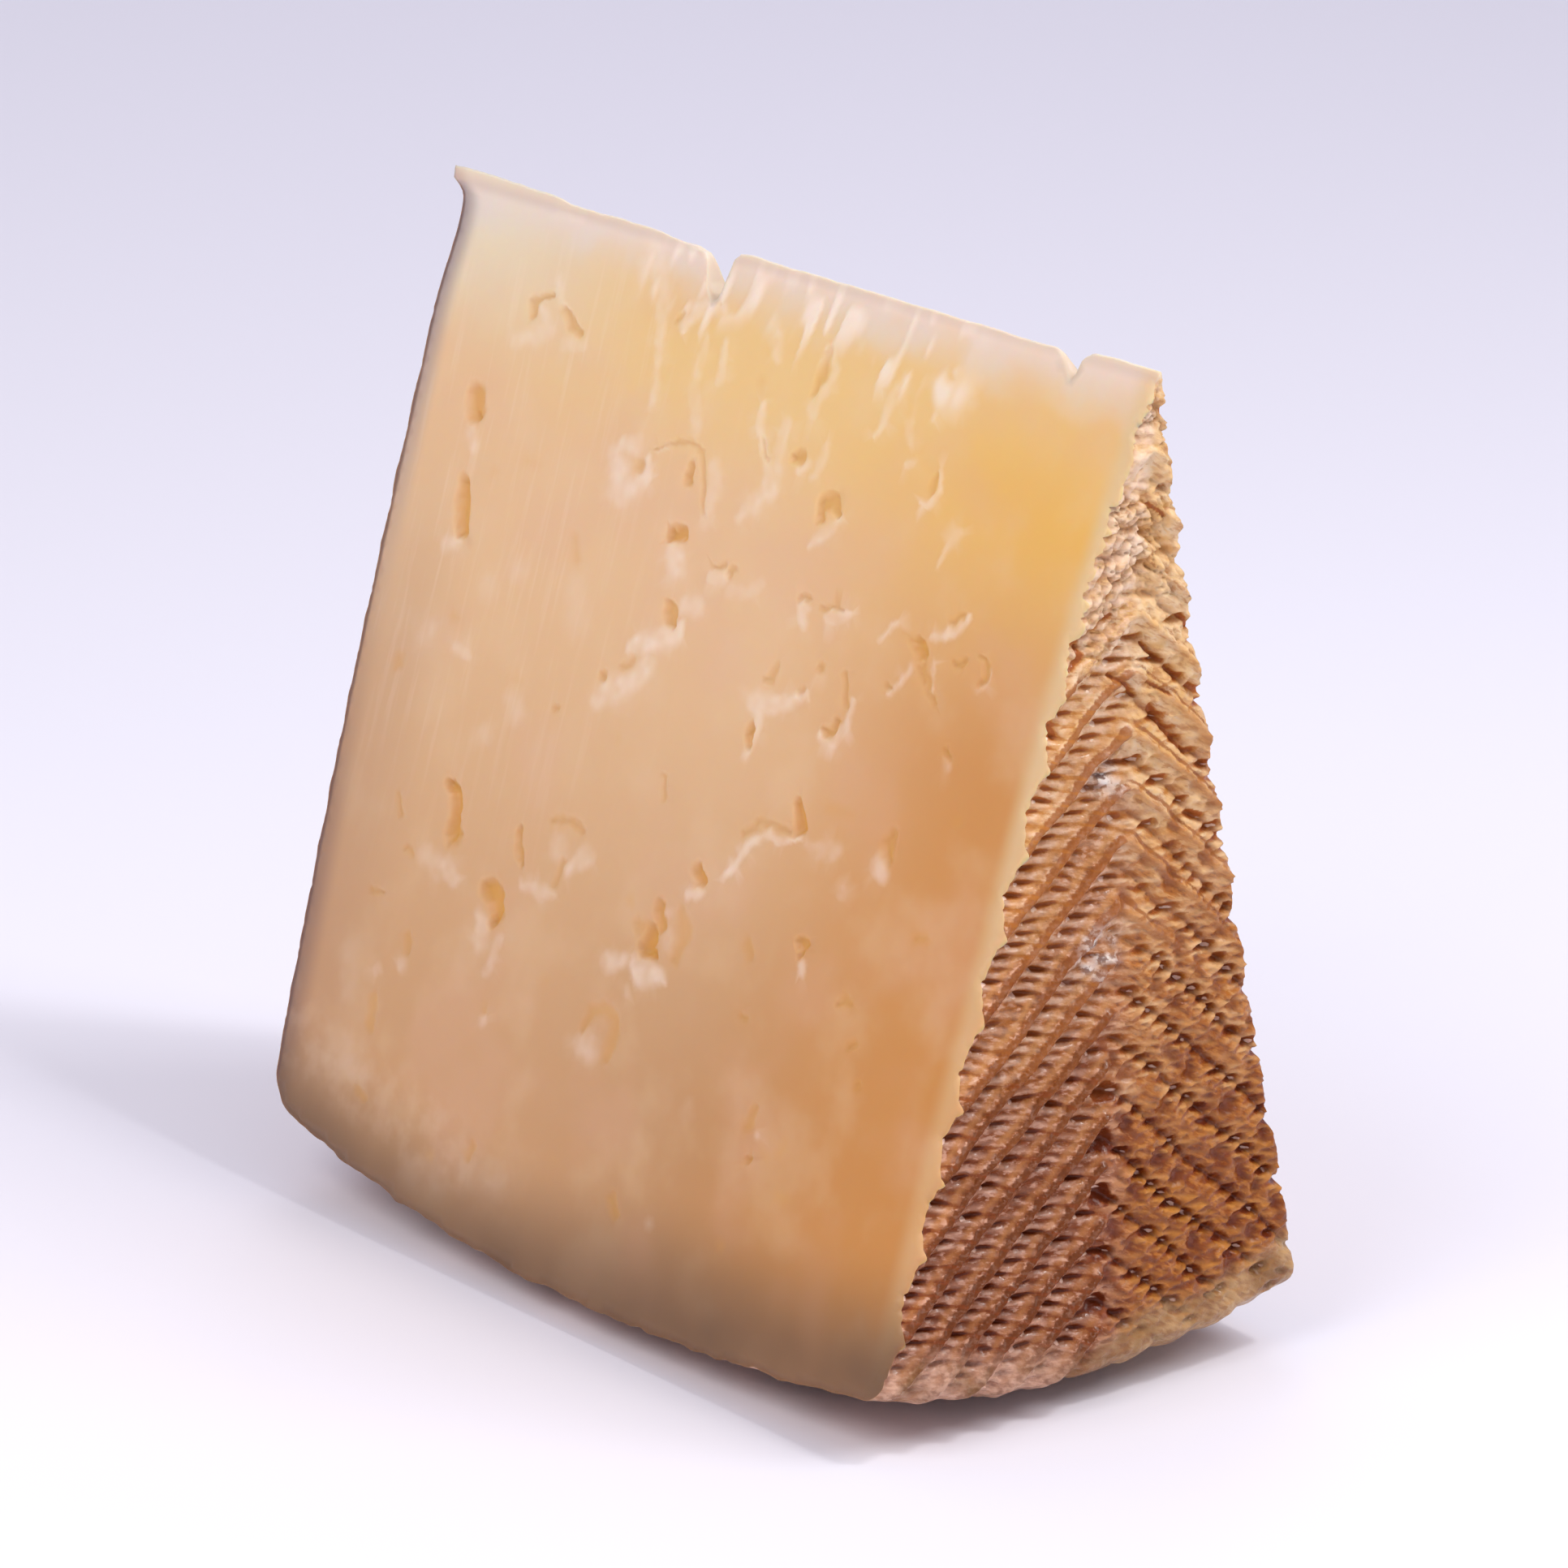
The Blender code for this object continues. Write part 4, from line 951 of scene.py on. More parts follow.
def distance_to(points, outline):
    nearest = np.full(len(points), 1e9)
    inside = np.zeros(len(points), bool)
    for a, b in zip(outline, np.roll(outline, -1, axis=0)):
        edge = b - a
        part = np.clip(((points - a) @ edge) / (edge @ edge), 0, 1)
        gap = points - a - part[:, None] * edge
        nearest = np.minimum(nearest, (gap ** 2).sum(1))
        if a[1] != b[1]:
            level = (points[:, 1] - a[1]) / edge[1]
            inside ^= (((a[1] > points[:, 1]) != (b[1] > points[:, 1]))
                       & (points[:, 0] < a[0] + level * edge[0]))
    return np.where(inside, np.sqrt(nearest), -1.0)


def fill(outline, spacing, gap, low, high, busy=None, fine=FINE):
    points = honeycomb(low, high, spacing)
    if busy is None:
        return points[distance_to(points, outline) > gap]
    calm = points[~busy(points, spacing * 0.7)]
    close = honeycomb(low, high, fine)
    close = close[busy(close, 0.0)]
    calm = calm[distance_to(calm, outline) > gap]
    close = close[distance_to(close, outline) > min(gap, fine * 0.6)]
    return np.concatenate((calm, close))


# %% Collecting sheets into one mesh
SHEETS = []


def add_sheet(name, outline, inner, places, finish):
    points = np.concatenate((outline, inner))
    rim = list(range(len(outline)))
    made = delaunay_2d_cdt([Vector(p) for p in points.tolist()], [], [rim], 1, 1e-7)
    if len(made[0]) != len(points):
        raise ValueError("the points of the " + name + " cross")
    source = np.array([sources[0] for sources in made[3]])
    triangles = np.array([source[list(face)] for face in made[2]])
    SHEETS.append((places, triangles, finish))
    print(name, "points", len(points), "triangles", len(triangles))


# %% [markdown]
# ## Shared edges
#
# These are the only places where two sheets meet, so their sample points are worked out once:
# distances down each side of the cuts, steps along the wall's outline, steps round both
# rims, and steps along the thin edge.

# %% Samples of the shared edges


def steps(start, stop, size):
    return np.linspace(start, stop, max(2, int(round(abs(stop - start) / size)) + 1))


NICK_STEPS = np.concatenate([
    middle + np.linspace(offsets[0], offsets[-1], 18) for middle, _, offsets, _ in (WIDE_NICK, SMALL_NICK)
])
edge_x = steps(float(left_face(EDGE_DEPTH)), float(right_face(EDGE_DEPTH)), 0.36)
far_from_nicks = np.abs(edge_x[:, None] - NICK_STEPS[None]).min(1) > 0.2
edge_x = np.sort(np.concatenate((edge_x[far_from_nicks], NICK_STEPS)))
right_r = steps(EDGE_DEPTH, RIGHT_RIM, RIND_SPACING)[1:-1]
left_r = steps(EDGE_DEPTH, LEFT_RIM, 0.5)[1:-1]
wall_s = steps(0.0, wall_length[-1], 0.38)
HALF_ARC = HALF_ANGLE * WALL_RADIUS
right_arc_steps = steps(-HALF_ARC, HALF_ARC, RIND_SPACING)
left_arc_steps = steps(-HALF_ARC, HALF_ARC, 0.7)
print("edge samples:", len(edge_x), len(right_r), len(left_r), len(wall_s))

# %% Outline of a cut, with the relief of the rind on it


def cut_outline(side):
    angle = side * HALF_ANGLE
    top = pairs(edge_x, edge_depth(edge_x))
    right = place_right(right_r * math.sin(angle), right_r * math.cos(angle))[:, 0]
    left = place_left(left_r * math.sin(angle), left_r * math.cos(angle))[:, 0]
    low = place_wall(wall_s, np.full(len(wall_s), side * HALF_ARC))
    low = pairs(low[:, 0], np.hypot(low[:, 1], low[:, 2]))
    return np.concatenate((top, pairs(right, right_r), low[::-1], pairs(left, left_r)[::-1]))


def busy_near(features, points, margin):
    busy = np.zeros(len(points), bool)
    for _, *stroke in features:
        grown = [(x, r, size * 1.35 + 0.25 + margin) for x, r, size in stroke]
        at = near_stroke(grown, points[:, 0], points[:, 1], 0.0)
        busy[at] |= stroke_spread(grown, points[at, 0], points[at, 1]) < 1
    return busy


def busy_front(points, margin):
    low, high, deep = TORN_ZONE
    torn = (points[:, 1] < deep + margin) & (points[:, 0] > low - margin) & (points[:, 0] < high + margin)
    return torn | busy_near([f for f in EYES + FLAKES if f[0] > 0.3], points, margin)


def busy_back(points, margin):
    return busy_near(BACK_EYES + BACK_FLAKES, points, margin)


# %% The two cuts


def add_cut(name, side, cut, busy, spacing, fine):
    outline = cut_outline(side)
    inner = fill(outline, spacing, spacing * 0.5, (-56, 0), (56, 103), busy, fine)
    clear = distance_to(inner, outline)
    height, _ = cut(inner[:, 0], inner[:, 1])
    height = height * ramp(clear, 0.0, 1.2)
    angle = side * HALF_ANGLE
    outward = np.array((0.0, side * math.cos(angle), abs(math.sin(angle))))
    places = np.concatenate((
        turned(outline[:, 0], outline[:, 1], angle),
        turned(inner[:, 0], inner[:, 1], angle) + height[:, None] * outward,
    ))
    add_sheet(name, outline, inner, places, 0)


add_cut("front cut", -1, front_cut, busy_front, 1.1, FINE)
add_cut("back cut", 1, back_cut, busy_back, 1.3, 0.5)

# %% The two pressed faces


def disc_outline(radii, rim, arcs):
    angles = arcs / WALL_RADIUS
    across, down = radii * math.sin(HALF_ANGLE), radii * math.cos(HALF_ANGLE)
    arc = pairs(rim * np.sin(angles), rim * np.cos(angles))
    return np.concatenate((pairs(-across, down), arc, pairs(across, down)[::-1]))


def add_face(name, radii, rim, arcs, place, end_x, length, spacing):
    corner = float(edge_depth(np.array(end_x)))
    outline = disc_outline(np.concatenate(([corner], radii)), rim, arcs)
    inner = fill(outline, spacing, spacing * 0.55, (-29, 0), (29, 100))
    points = np.concatenate((outline, inner))
    places = place(points[:, 0], points[:, 1])
    first = len(radii) + 1
    places[first:first + len(arcs)] = place_wall(np.full(len(arcs), length), arcs)
    places[0] = turned(end_x, corner, -HALF_ANGLE)
    places[len(outline) - 1] = turned(end_x, corner, HALF_ANGLE)
    add_sheet(name, outline, inner, places, 1)


add_face("pressed face", right_r, RIGHT_RIM, right_arc_steps, place_right, edge_x[-1],
         wall_length[-1], RIND_SPACING)
add_face("worn face", left_r, LEFT_RIM, left_arc_steps, place_left, edge_x[0], 0.0, 0.54)

# %% The wall, finer towards the pressed face
WALL_FINE = 0.36


def busy_wall(points, margin):
    return (points[:, 0] > wall_length[-1] - 7.5 - margin) | (points[:, 1] < -HALF_ARC + 2.5 + margin)


end = wall_length[-1]
wall_outline = np.concatenate((
    pairs(wall_s, np.full(len(wall_s), -HALF_ARC)),
    pairs(np.full(len(right_arc_steps), end), right_arc_steps)[1:-1],
    pairs(wall_s, np.full(len(wall_s), HALF_ARC))[::-1],
    pairs(np.zeros(len(left_arc_steps)), left_arc_steps)[1:-1][::-1],
))
wall_inner = fill(wall_outline, 1.0, 0.3, (0, -HALF_ARC), (end, HALF_ARC), busy_wall, WALL_FINE)
wall_points = np.concatenate((wall_outline, wall_inner))
wall_places = place_wall(wall_points[:, 0], wall_points[:, 1])
add_sheet("wall", wall_outline, wall_inner, wall_places, 1)

# %% The strip along the thin edge
EDGE_PARTS = np.linspace(-1, 1, 5)
edge_grid = np.array([place_edge(edge_x, np.full(len(edge_x), part)) for part in EDGE_PARTS])
edge_places = edge_grid.reshape(-1, 3)
count = len(edge_x)
strip = []
for row in range(len(EDGE_PARTS) - 1):
    for i in range(count - 1):
        a = row * count + i
        strip += [(a, a + 1, a + count + 1), (a, a + count + 1, a + count)]
for end_column in (0, count - 1):
    for row in range(1, len(EDGE_PARTS) - 1):
        strip.append((end_column, row * count + end_column, (row + 1) * count + end_column))
SHEETS.append((edge_places, np.array(strip), 0))
print("edge strip triangles:", len(strip))

# %% [markdown]
# ## One closed mesh
#
# The sheets become one mesh. The merge distance is a thousandth of a millimetre, far below
# any real spacing, so only the shared edge points join. A closed mesh has no edge with one
# face only, and the count of open edges printed below shows whether it worked.

# %% Join the sheets
wedge_mesh = bpy.data.meshes.new("aged_wedge")
all_places = np.concatenate([places for places, _, _ in SHEETS])
offsets = np.cumsum([0] + [len(places) for places, _, _ in SHEETS])
all_faces = np.concatenate([tri + start for (_, tri, _), start in zip(SHEETS, offsets)])
finishes = np.concatenate([np.full(len(tri), finish) for _, tri, finish in SHEETS])
wedge_mesh.from_pydata((all_places + (AXIS_SHIFT, 0.0, AXIS_HEIGHT)) * MM, [], all_faces)
wedge_mesh.polygons.foreach_set("material_index", finishes.astype(np.int32))
shaped = bmesh.new()
shaped.from_mesh(wedge_mesh)
bmesh.ops.remove_doubles(shaped, verts=shaped.verts, dist=0.001 * MM)
bmesh.ops.recalc_face_normals(shaped, faces=shaped.faces)
open_edges = sum(1 for e in shaped.edges if not e.is_manifold)
shaped.to_mesh(wedge_mesh)
shaped.free()
wedge_mesh.shade_smooth()
wedge = put_in_scene("aged_wedge", wedge_mesh)
print("triangles:", len(wedge_mesh.polygons), "open edges:", open_edges)

# %% [markdown]
# ## Masks
#
# Each vertex gets masks as plain numbers from 0 to 1: how hollow, how raised, how far from
# the thin edge or from a margin. The materials read them by name, so the colours stay with
# the surface from every side. They come from the same functions as the relief, which puts
# each colour exactly on its pit, crest or crumb.

# %% Where each vertex lies on the wheel
spots = np.zeros(len(wedge_mesh.vertices) * 3)
wedge_mesh.vertices.foreach_get("co", spots)
spots = spots.reshape(-1, 3) / MM - (AXIS_SHIFT, 0.0, AXIS_HEIGHT)
spot_x, across, down = spots[:, 0], spots[:, 1], -spots[:, 2]
spot_r = np.hypot(across, down)
spot_angle = np.arctan2(across, down)


def add_mask(name, values):
    mask = wedge_mesh.attributes.new(name, "FLOAT", "POINT")
    mask.data.foreach_set("value", np.clip(values, 0.0, 1.0).astype(np.float32))


# %% Masks of the paste
paste_hollow, paste_raised = np.zeros_like(spot_x), np.zeros_like(spot_x)
for side, cut in ((-1, front_cut), (1, back_cut)):
    off_plane = across * math.cos(HALF_ANGLE) * side - down * math.sin(HALF_ANGLE)
    at = np.nonzero((np.abs(off_plane) < 3.0) & (spot_angle * side >= 0))[0]
    cut_masks = cut(spot_x[at], spot_r[at])[1]
    paste_hollow[at] = cut_masks["hollow"]
    paste_raised[at] = cut_masks["raised"]
add_mask("paste_hollow", paste_hollow)
add_mask("paste_raised", paste_raised)
in_nick = ramp(edge_depth(spot_x) - EDGE_DEPTH, 0.3, 1.0)
add_mask("nick_face", in_nick * (1 - ramp(spot_r - edge_depth(spot_x), 0.1, 0.6)))
add_mask("left_gap", (spot_x - left_face(spot_r)) / 10)
add_mask("right_gap", (right_face(spot_r) - spot_x) / 10)
add_mask("wall_gap", (wall(spot_x) - spot_r) / 15)

# %% Masks of the rind: the wall is quiet, and the two faces take over near their rims


def mix_by(weight, first, second):
    return first * (1 - weight) + second * weight


on_right = ramp(spot_x, 40.0, 46.5)
on_left = ramp(-spot_x, 43.0, 47.0)
pressed = pressed_face(across, down)[1]
worn = worn_face(across, down)[1]
wall_middle = np.full(len(spot_x), 50.0)
band_hollow_shade = plaited_wall(spot_x, spot_angle * WALL_RADIUS, wall_middle)[1]
quiet = dict.fromkeys(pressed, 0.0)
# On the wall, the band's hollows are painted darker, as painted shade, and its ridges paler, as painted
# light
quiet.update(rind_pit=0.45 * band_hollow_shade, rind_rim=0.5 - 0.4 * band_hollow_shade, rind_edge=0.6)
for name, values in pressed.items():
    add_mask(name, mix_by(on_left, mix_by(on_right, quiet[name], values), worn[name]))
add_mask("spine_side", spot_angle / HALF_ANGLE * 0.5 + 0.5)
add_mask("depth", spot_r / 100.0)
add_mask("reach", (spot_x + 60.0) / 120.0)
print("masks:", sum(mask.data_type == "FLOAT" for mask in wedge_mesh.attributes))

# %% [markdown]
# ## Colours and nodes
#
# A colour picked from a photograph is an sRGB hex value, and shaders mix light in linear
# numbers, so one function turns hex to linear. A finish here is made of few kinds of node:
# a mask read from the mesh, a smooth ramp, a product or sum, a mix of two colours, a noise
# and a bump. The table gives the settings of each kind, the sockets that its values go to,
# and its result. One function then adds any of them, with its settings and links.

# %% Colour and node helpers
RAMP_SOCKETS = ("Value", "From Min", "From Max", "To Min", "To Max")
KINDS = {
    "mask": ("ShaderNodeAttribute", {}, (), "Fac"),
    "ramp": ("ShaderNodeMapRange", {"interpolation_type": "SMOOTHSTEP"}, RAMP_SOCKETS, "Result"),
    "times": ("ShaderNodeMath", {"operation": "MULTIPLY"}, (0, 1), 0),
    "plus": ("ShaderNodeMath", {"operation": "ADD"}, (0, 1), 0),
    "minus": ("ShaderNodeMath", {"operation": "SUBTRACT"}, (0, 1), 0),
    "mix": ("ShaderNodeMix", {"data_type": "RGBA"}, (0, 6, 7), 2),
    "place": ("ShaderNodeTexCoord", {}, (), "Object"),
    "scale": ("ShaderNodeMapping", {"vector_type": "TEXTURE"}, ("Vector", "Scale", "Rotation"), 0),
    "noise": ("ShaderNodeTexNoise", {}, ("Vector", "Scale", "Detail"), "Fac"),
    "bump": ("ShaderNodeBump", {}, ("Height", "Strength", "Distance"), "Normal"),
}


def linear(hex_colour):
    channels = [int(hex_colour[i:i + 2], 16) / 255 for i in (1, 3, 5)]
    return [c / 12.92 if c <= 0.04045 else ((c + 0.055) / 1.055) ** 2.4 for c in channels] + [1.0]


def plug(socket, value):
    if isinstance(value, bpy.types.NodeSocket):
        socket.id_data.links.new(value, socket)
    else:
        socket.default_value = linear(value) if isinstance(value, str) else value


def add_node(tree, kind, *values, **settings):
    blueprint, fixed, sockets, result = KINDS[kind]
    made = tree.nodes.new(blueprint)
    for name, setting in {**fixed, **settings}.items():
        setattr(made, name, setting)
    for socket, value in zip(sockets, values):
        plug(made.inputs[socket], value)
    return made.outputs[result]


def set_sockets(shader, values):
    for name, value in values.items():
        plug(shader.inputs[name], value)


print("kinds of node:", len(KINDS))

# %% Starting a finish, noise of a real size, and laying colours


def new_finish(name):
    material = bpy.data.materials.new(name)
    material.use_nodes = True
    tree = material.node_tree
    return material, partial(add_node, tree), tree.nodes["Principled BSDF"]


def grain(add, size_mm, detail=2.0, stretch=(1.0, 1.0, 1.0), tip=0.0):
    sizes = [size_mm * MM * s for s in stretch]
    scaled = add("scale", add("place"), sizes, (math.radians(tip), 0.0, 0.0))
    return add("noise", scaled, 1.0, detail)


def lay(add, below, fields, layers):
    for colour, share, *ramps in layers:
        for name, *limits in ramps:
            field = add("ramp", fields[name], *limits) if limits else fields[name]
            share = add("times", field, share)
        below = add("mix", share, below, colour)
    return below


# %% [markdown]
# ## Paste: pressed aged cheese, cut with a knife
#
# Aged pressed paste is a dense fat and protein mass. Light goes a few millimetres in and
# comes out warmer, so the thin edge looks pale and the body glows, and the cut is dull and
# faintly waxy. Fat and protein have an index of refraction near 1.45. Subsurface scattering
# gives the glow: red light travels furthest in cheese and blue least.
#
# The colours are laid one over the other, each by a share and by ramps over named fields.
# The body goes from cream under the thin edge to peach near the wall, and its darkening
# towards the wall is partly painted shade. Towards the rind on the right, near the thin edge,
# it turns golden, partly a painted glow where light shines through the thin paste. Lower down
# it turns orange, where the fat has gathered. Faint streaks run the way the knife went.

# %% Fields that place the paste's colours
paste, add, shader = new_finish("pressed_aged_paste")
mask_names = ("depth", "reach", "left_gap", "right_gap", "wall_gap")
mask_names += ("paste_hollow", "paste_raised", "nick_face")
field = {name: add("mask", attribute_name=name) for name in mask_names}
# Clouds of fat a centimetre across, knife streaks a millimetre wide, and scratches
field["cloud"] = grain(add, 9.0, 3.0)
field["pink"] = grain(add, 13.0)
field["streak"] = grain(add, 1.1, 3.0, (1.0, 5.0, 14.0))
field["scratch"] = grain(add, 2.6)
field["wavy_depth"] = add("plus", field["depth"], add("ramp", field["cloud"], 0.3, 0.7, -0.014, 0.014))
# The dark lower margin, partly drying and partly painted shade, is wider on the left than on the right
field["low_gap"] = add("plus", field["wall_gap"], add("ramp", field["reach"], 0.30, 0.70, 0.16, -0.08))

# %% Body of the paste: colour, share, then the ramps that place it
BODY = (
    # Darker towards the wall: partly the paste's own colour, partly painted shade
    ("#C8996B", 1.00, ("wavy_depth", 0.22, 0.95)),
    ("#AE7C48", 0.65, ("reach", 0.35, 0.75), ("depth", 0.45, 0.95)),
    ("#EBC684", 0.85, ("wavy_depth", 0.26, 0.10), ("reach", 0.08, 0.42, 0.25, 1.0)),
    # Golden near the thin edge on the right: partly the paste's colour, partly a painted glow of light
    # shining through
    ("#E7B454", 0.90, ("reach", 0.50, 0.86), ("depth", 0.42, 0.14), ("depth", 0.05, 0.16, 0.35, 1.0)),
    ("#CB8A40", 0.88, ("reach", 0.54, 0.86), ("depth", 0.14, 0.42)),
    ("#E8CBA6", 0.20, ("cloud", 0.45, 0.72)),
    ("#DDAE92", 0.20, ("pink", 0.48, 0.70)),
    ("#A8806A", 0.30, ("reach", 0.22, 0.10), ("depth", 0.20, 0.50)),
    ("#E6D6B8", 1.00, ("wavy_depth", 0.20, 0.04), ("reach", 0.38, 0.10)),
    ("#F3DCC2", 0.22, ("streak", 0.50, 0.76), ("depth", 0.75, 0.35), ("reach", 0.55, 0.20)),
)
body = lay(add, "#E4BD90", field, BODY)

# %% [markdown]
# ## Dried margins, eyes and flakes
#
# Where paste meets air it dries: pale along the thin edge, greyish down the left margin,
# straw-coloured beside the rind, and dull brown along the wall with a few scrape marks. The
# grey of the left margin and the brown along the wall are partly painted shade as well, and
# the top of the thin edge is painted a little greyer, as painted shade, so that its lit strip
# stays dull.
# The very edge of the left margin is dark, where rind and paste meet. An eye is a small
# closed bubble, so its floor has stayed moist and golden, and torn crumbs scatter more
# light than smooth paste and look nearly white.

# %% Margins, then eyes, flakes, thin edge and nicks
MARGINS = (
    ("#E2D6CA", 0.85, ("wavy_depth", 0.075, 0.005)),
    # Left margin: partly dried paste, partly painted shade
    ("#A69490", 0.90, ("left_gap", 0.36, 0.05), ("depth", 0.60, 0.05)),
    ("#9C7862", 0.95, ("left_gap", 0.42, 0.06), ("depth", 0.35, 0.80)),
    ("#DFC292", 1.00, ("right_gap", 0.34, 0.08), ("depth", 0.75, 0.35, 0.35, 0.85)),
    # Along the wall: partly dried paste, partly painted shade
    ("#6E5038", 0.95, ("low_gap", 0.92, 0.02), ("pink", 0.3, 0.7, 1.0, 0.85)),
    ("#E2C4AA", 0.18, ("wall_gap", 0.95, 0.6), ("wall_gap", 0.15, 0.4), ("reach", 0.48, 0.30),
     ("scratch", 0.36, 0.74)),
    ("#6E5148", 0.80, ("left_gap", 0.07, 0.025)),
)
MARKS = (
    ("#DA9C3A", 0.75, ("paste_hollow",)),
    ("#F5E6D6", 0.72, ("paste_raised",)),
    # Painted shade on the top of the thin edge, which faces the lamps
    ("#C6B8AC", 0.60, ("depth", 0.018, 0.006)),
    ("#CFBDA8", 0.80, ("nick_face",)),
)
body = lay(add, body, field, MARGINS + MARKS)
print("layers of the paste:", len(BODY) + len(MARGINS) + len(MARKS))

# %% Gloss, glow and grit of the paste
# Grains of curd are finer than this render can show, so they are drawn 0.7 mm across
curd = add("times", grain(add, 0.7), 0.3)
grit = add("plus", curd, add("times", field["streak"], 0.6))
set_sockets(shader, {
    "Base Color": body,
    "Roughness": add("ramp", field["cloud"], 0.3, 0.7, 0.42, 0.58),
    "IOR": 1.45,
    "Subsurface Weight": 0.7,
    "Subsurface Radius": (1.0, 0.6, 0.3),
    "Subsurface Scale": 1.4 * MM,
    "Normal": add("bump", grit, 0.08, 0.08 * MM),
})
print("nodes of the paste:", len(paste.node_tree.nodes))

# %% [markdown]
# ## Rind: mat-pressed, oiled and brushed
#
# The rind is the same milk dried hard. It was pressed by the mat, then brushed and rubbed
# with oil as it aged. The eye sees three things. First, pale ridges and beads, painted lighter
# where light falls on them. Second, pits and seams that are dark, partly from oil stain and
# partly from painted shade. Third, small white painted glints where oil stands in a pit. Near
# the hub the press was light, and there it is creamy, dull and crumbly. The left half is
# painted redder and the right half more golden, as painted light, since the light comes from
# the right.
#
# The colours follow the relief masks. Their edges are made ragged by a fine noise before
# they are cut off sharply, so a pit gets a crisp edge that is finer than the mesh. Hard
# rind is denser than paste, and the oil lies on it like a thin coat, so it has a slightly
# higher index, less glow and a weak clear coat.

# %% Fields that place the rind's colours
rind, add, shader = new_finish("mat_pressed_rind")
mask_names = ("depth", "reach", "spine_side", "rind_rim", "rind_stain", "rind_crest", "rind_cord")
mask_names += ("rind_hollow", "rind_pit", "rind_glint", "rind_edge", "mould")
field = {name: add("mask", attribute_name=name) for name in mask_names}
right_side = add("ramp", field["spine_side"], 0.42, 0.62)
patch = grain(add, 7.0, 3.0)
fleck = grain(add, 0.8, 3.0)
aged = add("plus", field["depth"], add("ramp", patch, 0.3, 0.7, -0.08, 0.08))

# Straw marks half a millimetre wide run along the cords, which slope the other way on the right
left_straw = grain(add, 0.50, 3.0, (1.0, 2.6, 0.9), -9.0)
right_straw = grain(add, 0.50, 3.0, (1.0, 3.4, 0.9), -28.0)
left_straw = add("times", left_straw, add("minus", 1.0, right_side))
field["straw"] = add("plus", left_straw, add("times", right_straw, right_side))

ragged = add("ramp", fleck, 0.3, 0.7, -0.08, 0.08)
for name in ("rind_cord", "rind_pit", "rind_glint"):
    field[name] = add("plus", field[name], ragged)

# %% Colours that change with age or side, and the rind's ground colour


def by_age(start, stop, young, old):
    return add("mix", add("ramp", aged, start, stop), young, old)


# The two halves take different colours as painted light: the right half, on the side the light comes
# from, is painted more golden and the left half redder
def by_side(left, right):
    return add("mix", right_side, left, right)


young = add("mix", add("ramp", grain(add, 2.6), 0.42, 0.62), "#DDAE6C", "#E4C9A2")
ground = by_age(0.24, 0.56, young, by_side("#B5703A", "#B46B24"))
ground = by_age(0.50, 0.84, ground, by_side("#8C4A22", "#843F0A"))
dark_straw = by_age(0.30, 0.60, "#B4743A", "#6E3418")
# Pale streaks: partly straw marks, partly painted highlight, with more towards the lit right
pale_straw_and_sheen = by_age(0.35, 0.75, by_side("#ECC4A2", "#E0B274"), by_side("#E8B69C", "#B97430"))
# Colour of the bead tops: painted light
lit_bead = by_age(0.45, 0.85, by_side("#F0D3B8", "#EEC998"), by_side("#EAB69A", "#CC8A3E"))
smooth_rim = add("mix", add("ramp", patch, 0.40, 0.60), "#8E6A42", by_side("#DDB298", "#C09C6E"))
mould_grey = add("mix", add("ramp", grain(add, 0.7, 3.0), 0.42, 0.56), "#8C7166", "#E4DAD2")

# %% Layers of the rind: colour, share, then what places it
RIND = (
    (dark_straw, 0.80, ("straw", 0.50, 0.36)),
    # Pale streaks, partly painted highlight
    (pale_straw_and_sheen, 1.00, ("straw", 0.51, 0.65), ("reach", 0.1, 0.9, 0.4, 0.75)),
    # Painted light on bead tops and rings
    (lit_bead, 0.85, ("rind_rim",)),
    # Stain and painted shade in the recesses
    (by_age(0.38, 0.80, "#A9672B", "#5F2A10"), 0.65, ("rind_stain",)),
    # Painted light on the upper flank of the cords
    (by_age(0.45, 0.90, "#CC935A", "#B27240"), 0.75, ("rind_crest",)),
    # Painted shade along the lower flank of the cords
    (by_age(0.46, 0.82, "#9A5A2A", "#6C3612"), 0.85, ("rind_cord", 0.35, 0.70)),
    # Hollows and seams: partly stain, partly painted shade
    (by_age(0.46, 0.82, "#98562A", "#62240F"), 1.00, ("rind_hollow",)),
    # Pit colours: partly oil stain, partly painted shade
    (by_age(0.38, 0.72, "#B8742E", "#853E14"), 0.75, ("rind_pit", 0.26, 0.50)),
    (by_age(0.40, 0.82, "#A85E2C", "#66280F"), 0.97, ("rind_pit", 0.50, 0.62)),
    # Painted highlight: the glint in a strong pit
    (by_age(0.30, 0.80, "#F3DCC4", "#F0C8B4"), 0.90, ("rind_glint", 0.42, 0.70)),
    (smooth_rim, 1.00, ("rind_edge",), ("straw", 0.35, 0.6, 0.45, 0.85)),
    (mould_grey, 1.00, ("mould",)),
)
coloured = lay(add, ground, field, RIND)
print("layers of the rind:", len(RIND))

# %% Gloss, coat and grit of the rind
# Brush marks and dried crumbs stand about a third of a millimetre proud. They scatter the
# rind's own shine, so it is turned down, and the thin coat of oil is left to glint
grit = add("plus", fleck, field["straw"])
set_sockets(shader, {
    "Base Color": coloured,
    "Roughness": add("ramp", aged, 0.25, 0.55, 0.55, 0.30),
    "IOR": 1.46,
    "Specular IOR Level": 0.17,
    "Coat Weight": 0.18,
    "Coat Roughness": 0.12,
    "Subsurface Weight": 0.22,
    "Subsurface Radius": (1.0, 0.5, 0.25),
    "Subsurface Scale": 0.4 * MM,
    "Normal": add("bump", grit, 0.5, 0.3 * MM),
})
print("nodes of the rind:", len(rind.node_tree.nodes))

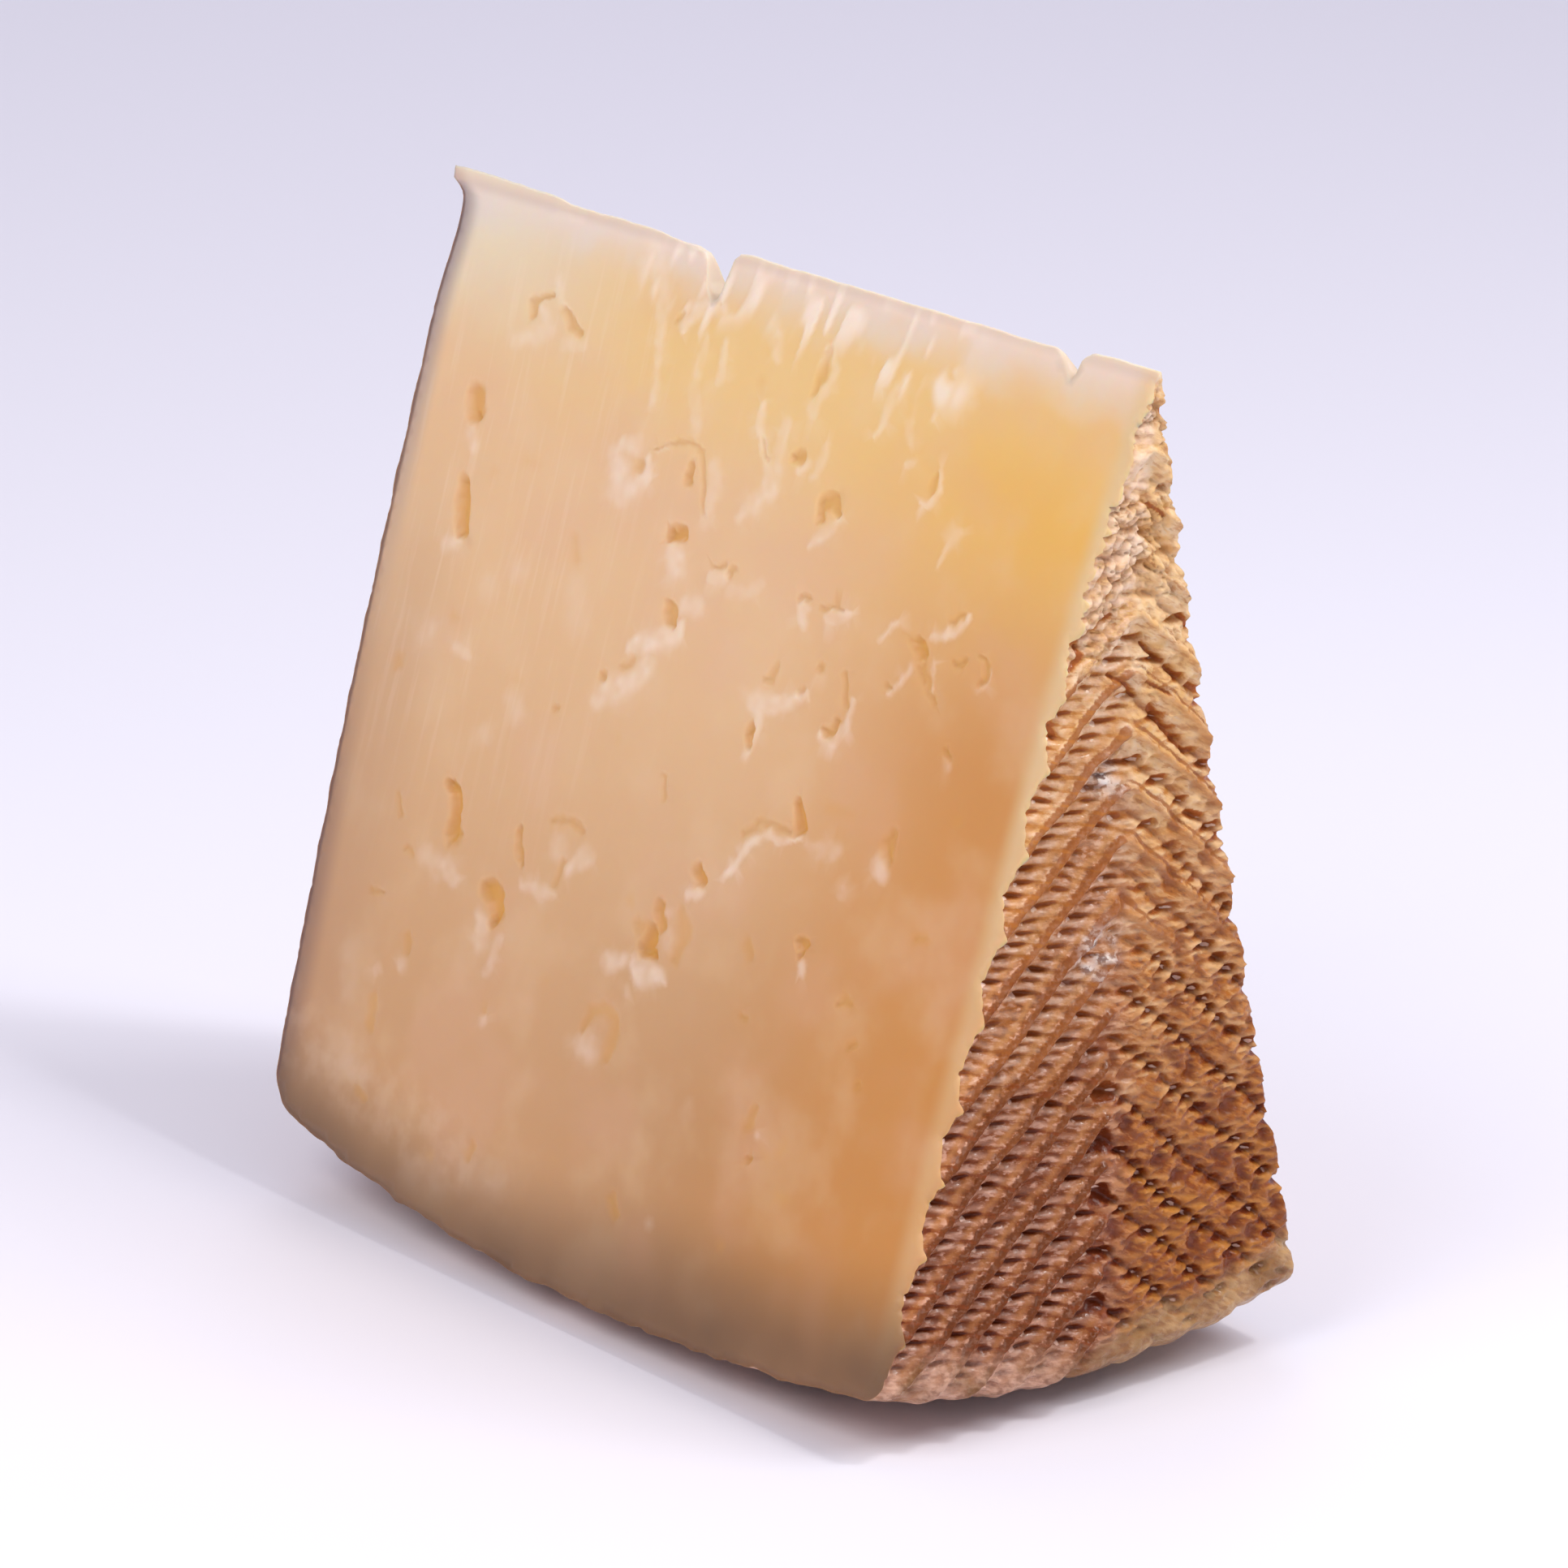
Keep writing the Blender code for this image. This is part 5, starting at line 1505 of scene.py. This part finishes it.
# %% Dress the wedge and let it ride
wedge_mesh.materials.append(paste)
wedge_mesh.materials.append(rind)
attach(wedge, "root")
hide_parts("cheese_wedge")

# %% [markdown]
# ## Floor and light
#
# A small studio: a pale floor that curves up into a backdrop without a corner, so no line
# shows behind the wedge. Four soft lamps light it. A wide one on the right lights the rind,
# a small one nearer to it rakes over the herringbone and makes its pits read, a wide one in
# front lights the cut, and one behind on the left keeps the floor pale. The room's own
# light is even and faintly blue, so that no shadow goes black.

# %% Stage
FLOOR_HALF = 3.0
COVE_START = 1.2
COVE_RADIUS = 0.8
BACKDROP_TOP = 3.0
cove = bmesh.new()
profile = [(-FLOOR_HALF, 0.0)]
profile += [(COVE_START + COVE_RADIUS * math.sin(a), COVE_RADIUS * (1 - math.cos(a)))
            for a in np.linspace(0, math.pi / 2, 16)]
profile.append((COVE_START + COVE_RADIUS, BACKDROP_TOP))
view_angle = math.atan2(AIM_POINT.y - CAMERA_PLACE.y, AIM_POINT.x - CAMERA_PLACE.x)
turn_to_view = Matrix.Rotation(view_angle, 4, "Z")
rows = []
for forward, height in profile:
    ends = [Vector((forward, side, height + cad_low.z)) for side in (-FLOOR_HALF, FLOOR_HALF)]
    rows.append([cove.verts.new(turn_to_view @ point) for point in ends])
for near, far in zip(rows, rows[1:]):
    cove.faces.new((near[0], near[1], far[1], far[0]))
cove_mesh = bpy.data.meshes.new("backdrop")
cove.to_mesh(cove_mesh)
cove.free()
cove_mesh.shade_smooth()
backdrop = put_in_scene("backdrop", cove_mesh)

# Boards under matt emulsion paint: chalky, so nothing mirrors in them
emulsion, add, shader = new_finish("matt_emulsion_paint")
set_sockets(shader, {"Base Color": "#EBE9F2", "Roughness": 0.9})
cove_mesh.materials.append(emulsion)
print("backdrop strips:", len(cove_mesh.polygons))

# %% Lamps: name, place in metres, width, power and colour
LAMPS = (
    ("window_soft", (0.45, 0.28, 0.62), 0.40, 2.3, "#FFFFFF"),
    ("rake_light", (0.26, 0.12, 0.52), 0.07, 0.62, "#FFFFFF"),
    ("front_fill", (0.12, -0.62, 0.62), 0.50, 2.9, "#FFFDFA"),
    ("floor_wash", (-0.70, 0.58, 0.85), 0.60, 1.5, "#F4F2FF"),
)
LIT_POINT = Vector((0, 0, 0.05))
for name, place, width, power, colour in LAMPS:
    lamp_data = bpy.data.lights.new(name, "AREA")
    lamp_data.shape = "DISK"
    lamp_data.size = width
    lamp_data.energy = power
    lamp_data.color = linear(colour)[:3]
    put_in_scene(name, lamp_data).matrix_world = aimed(Vector(place), LIT_POINT)
print("lamps:", len(LAMPS))

# %% Dim light of the room
world = bpy.data.worlds.new("room")
bpy.context.scene.world = world
world.use_nodes = True
set_sockets(world.node_tree.nodes["Background"], {"Color": "#EDEBF6", "Strength": 0.66})
bpy.context.scene.view_settings.view_transform = "Standard"
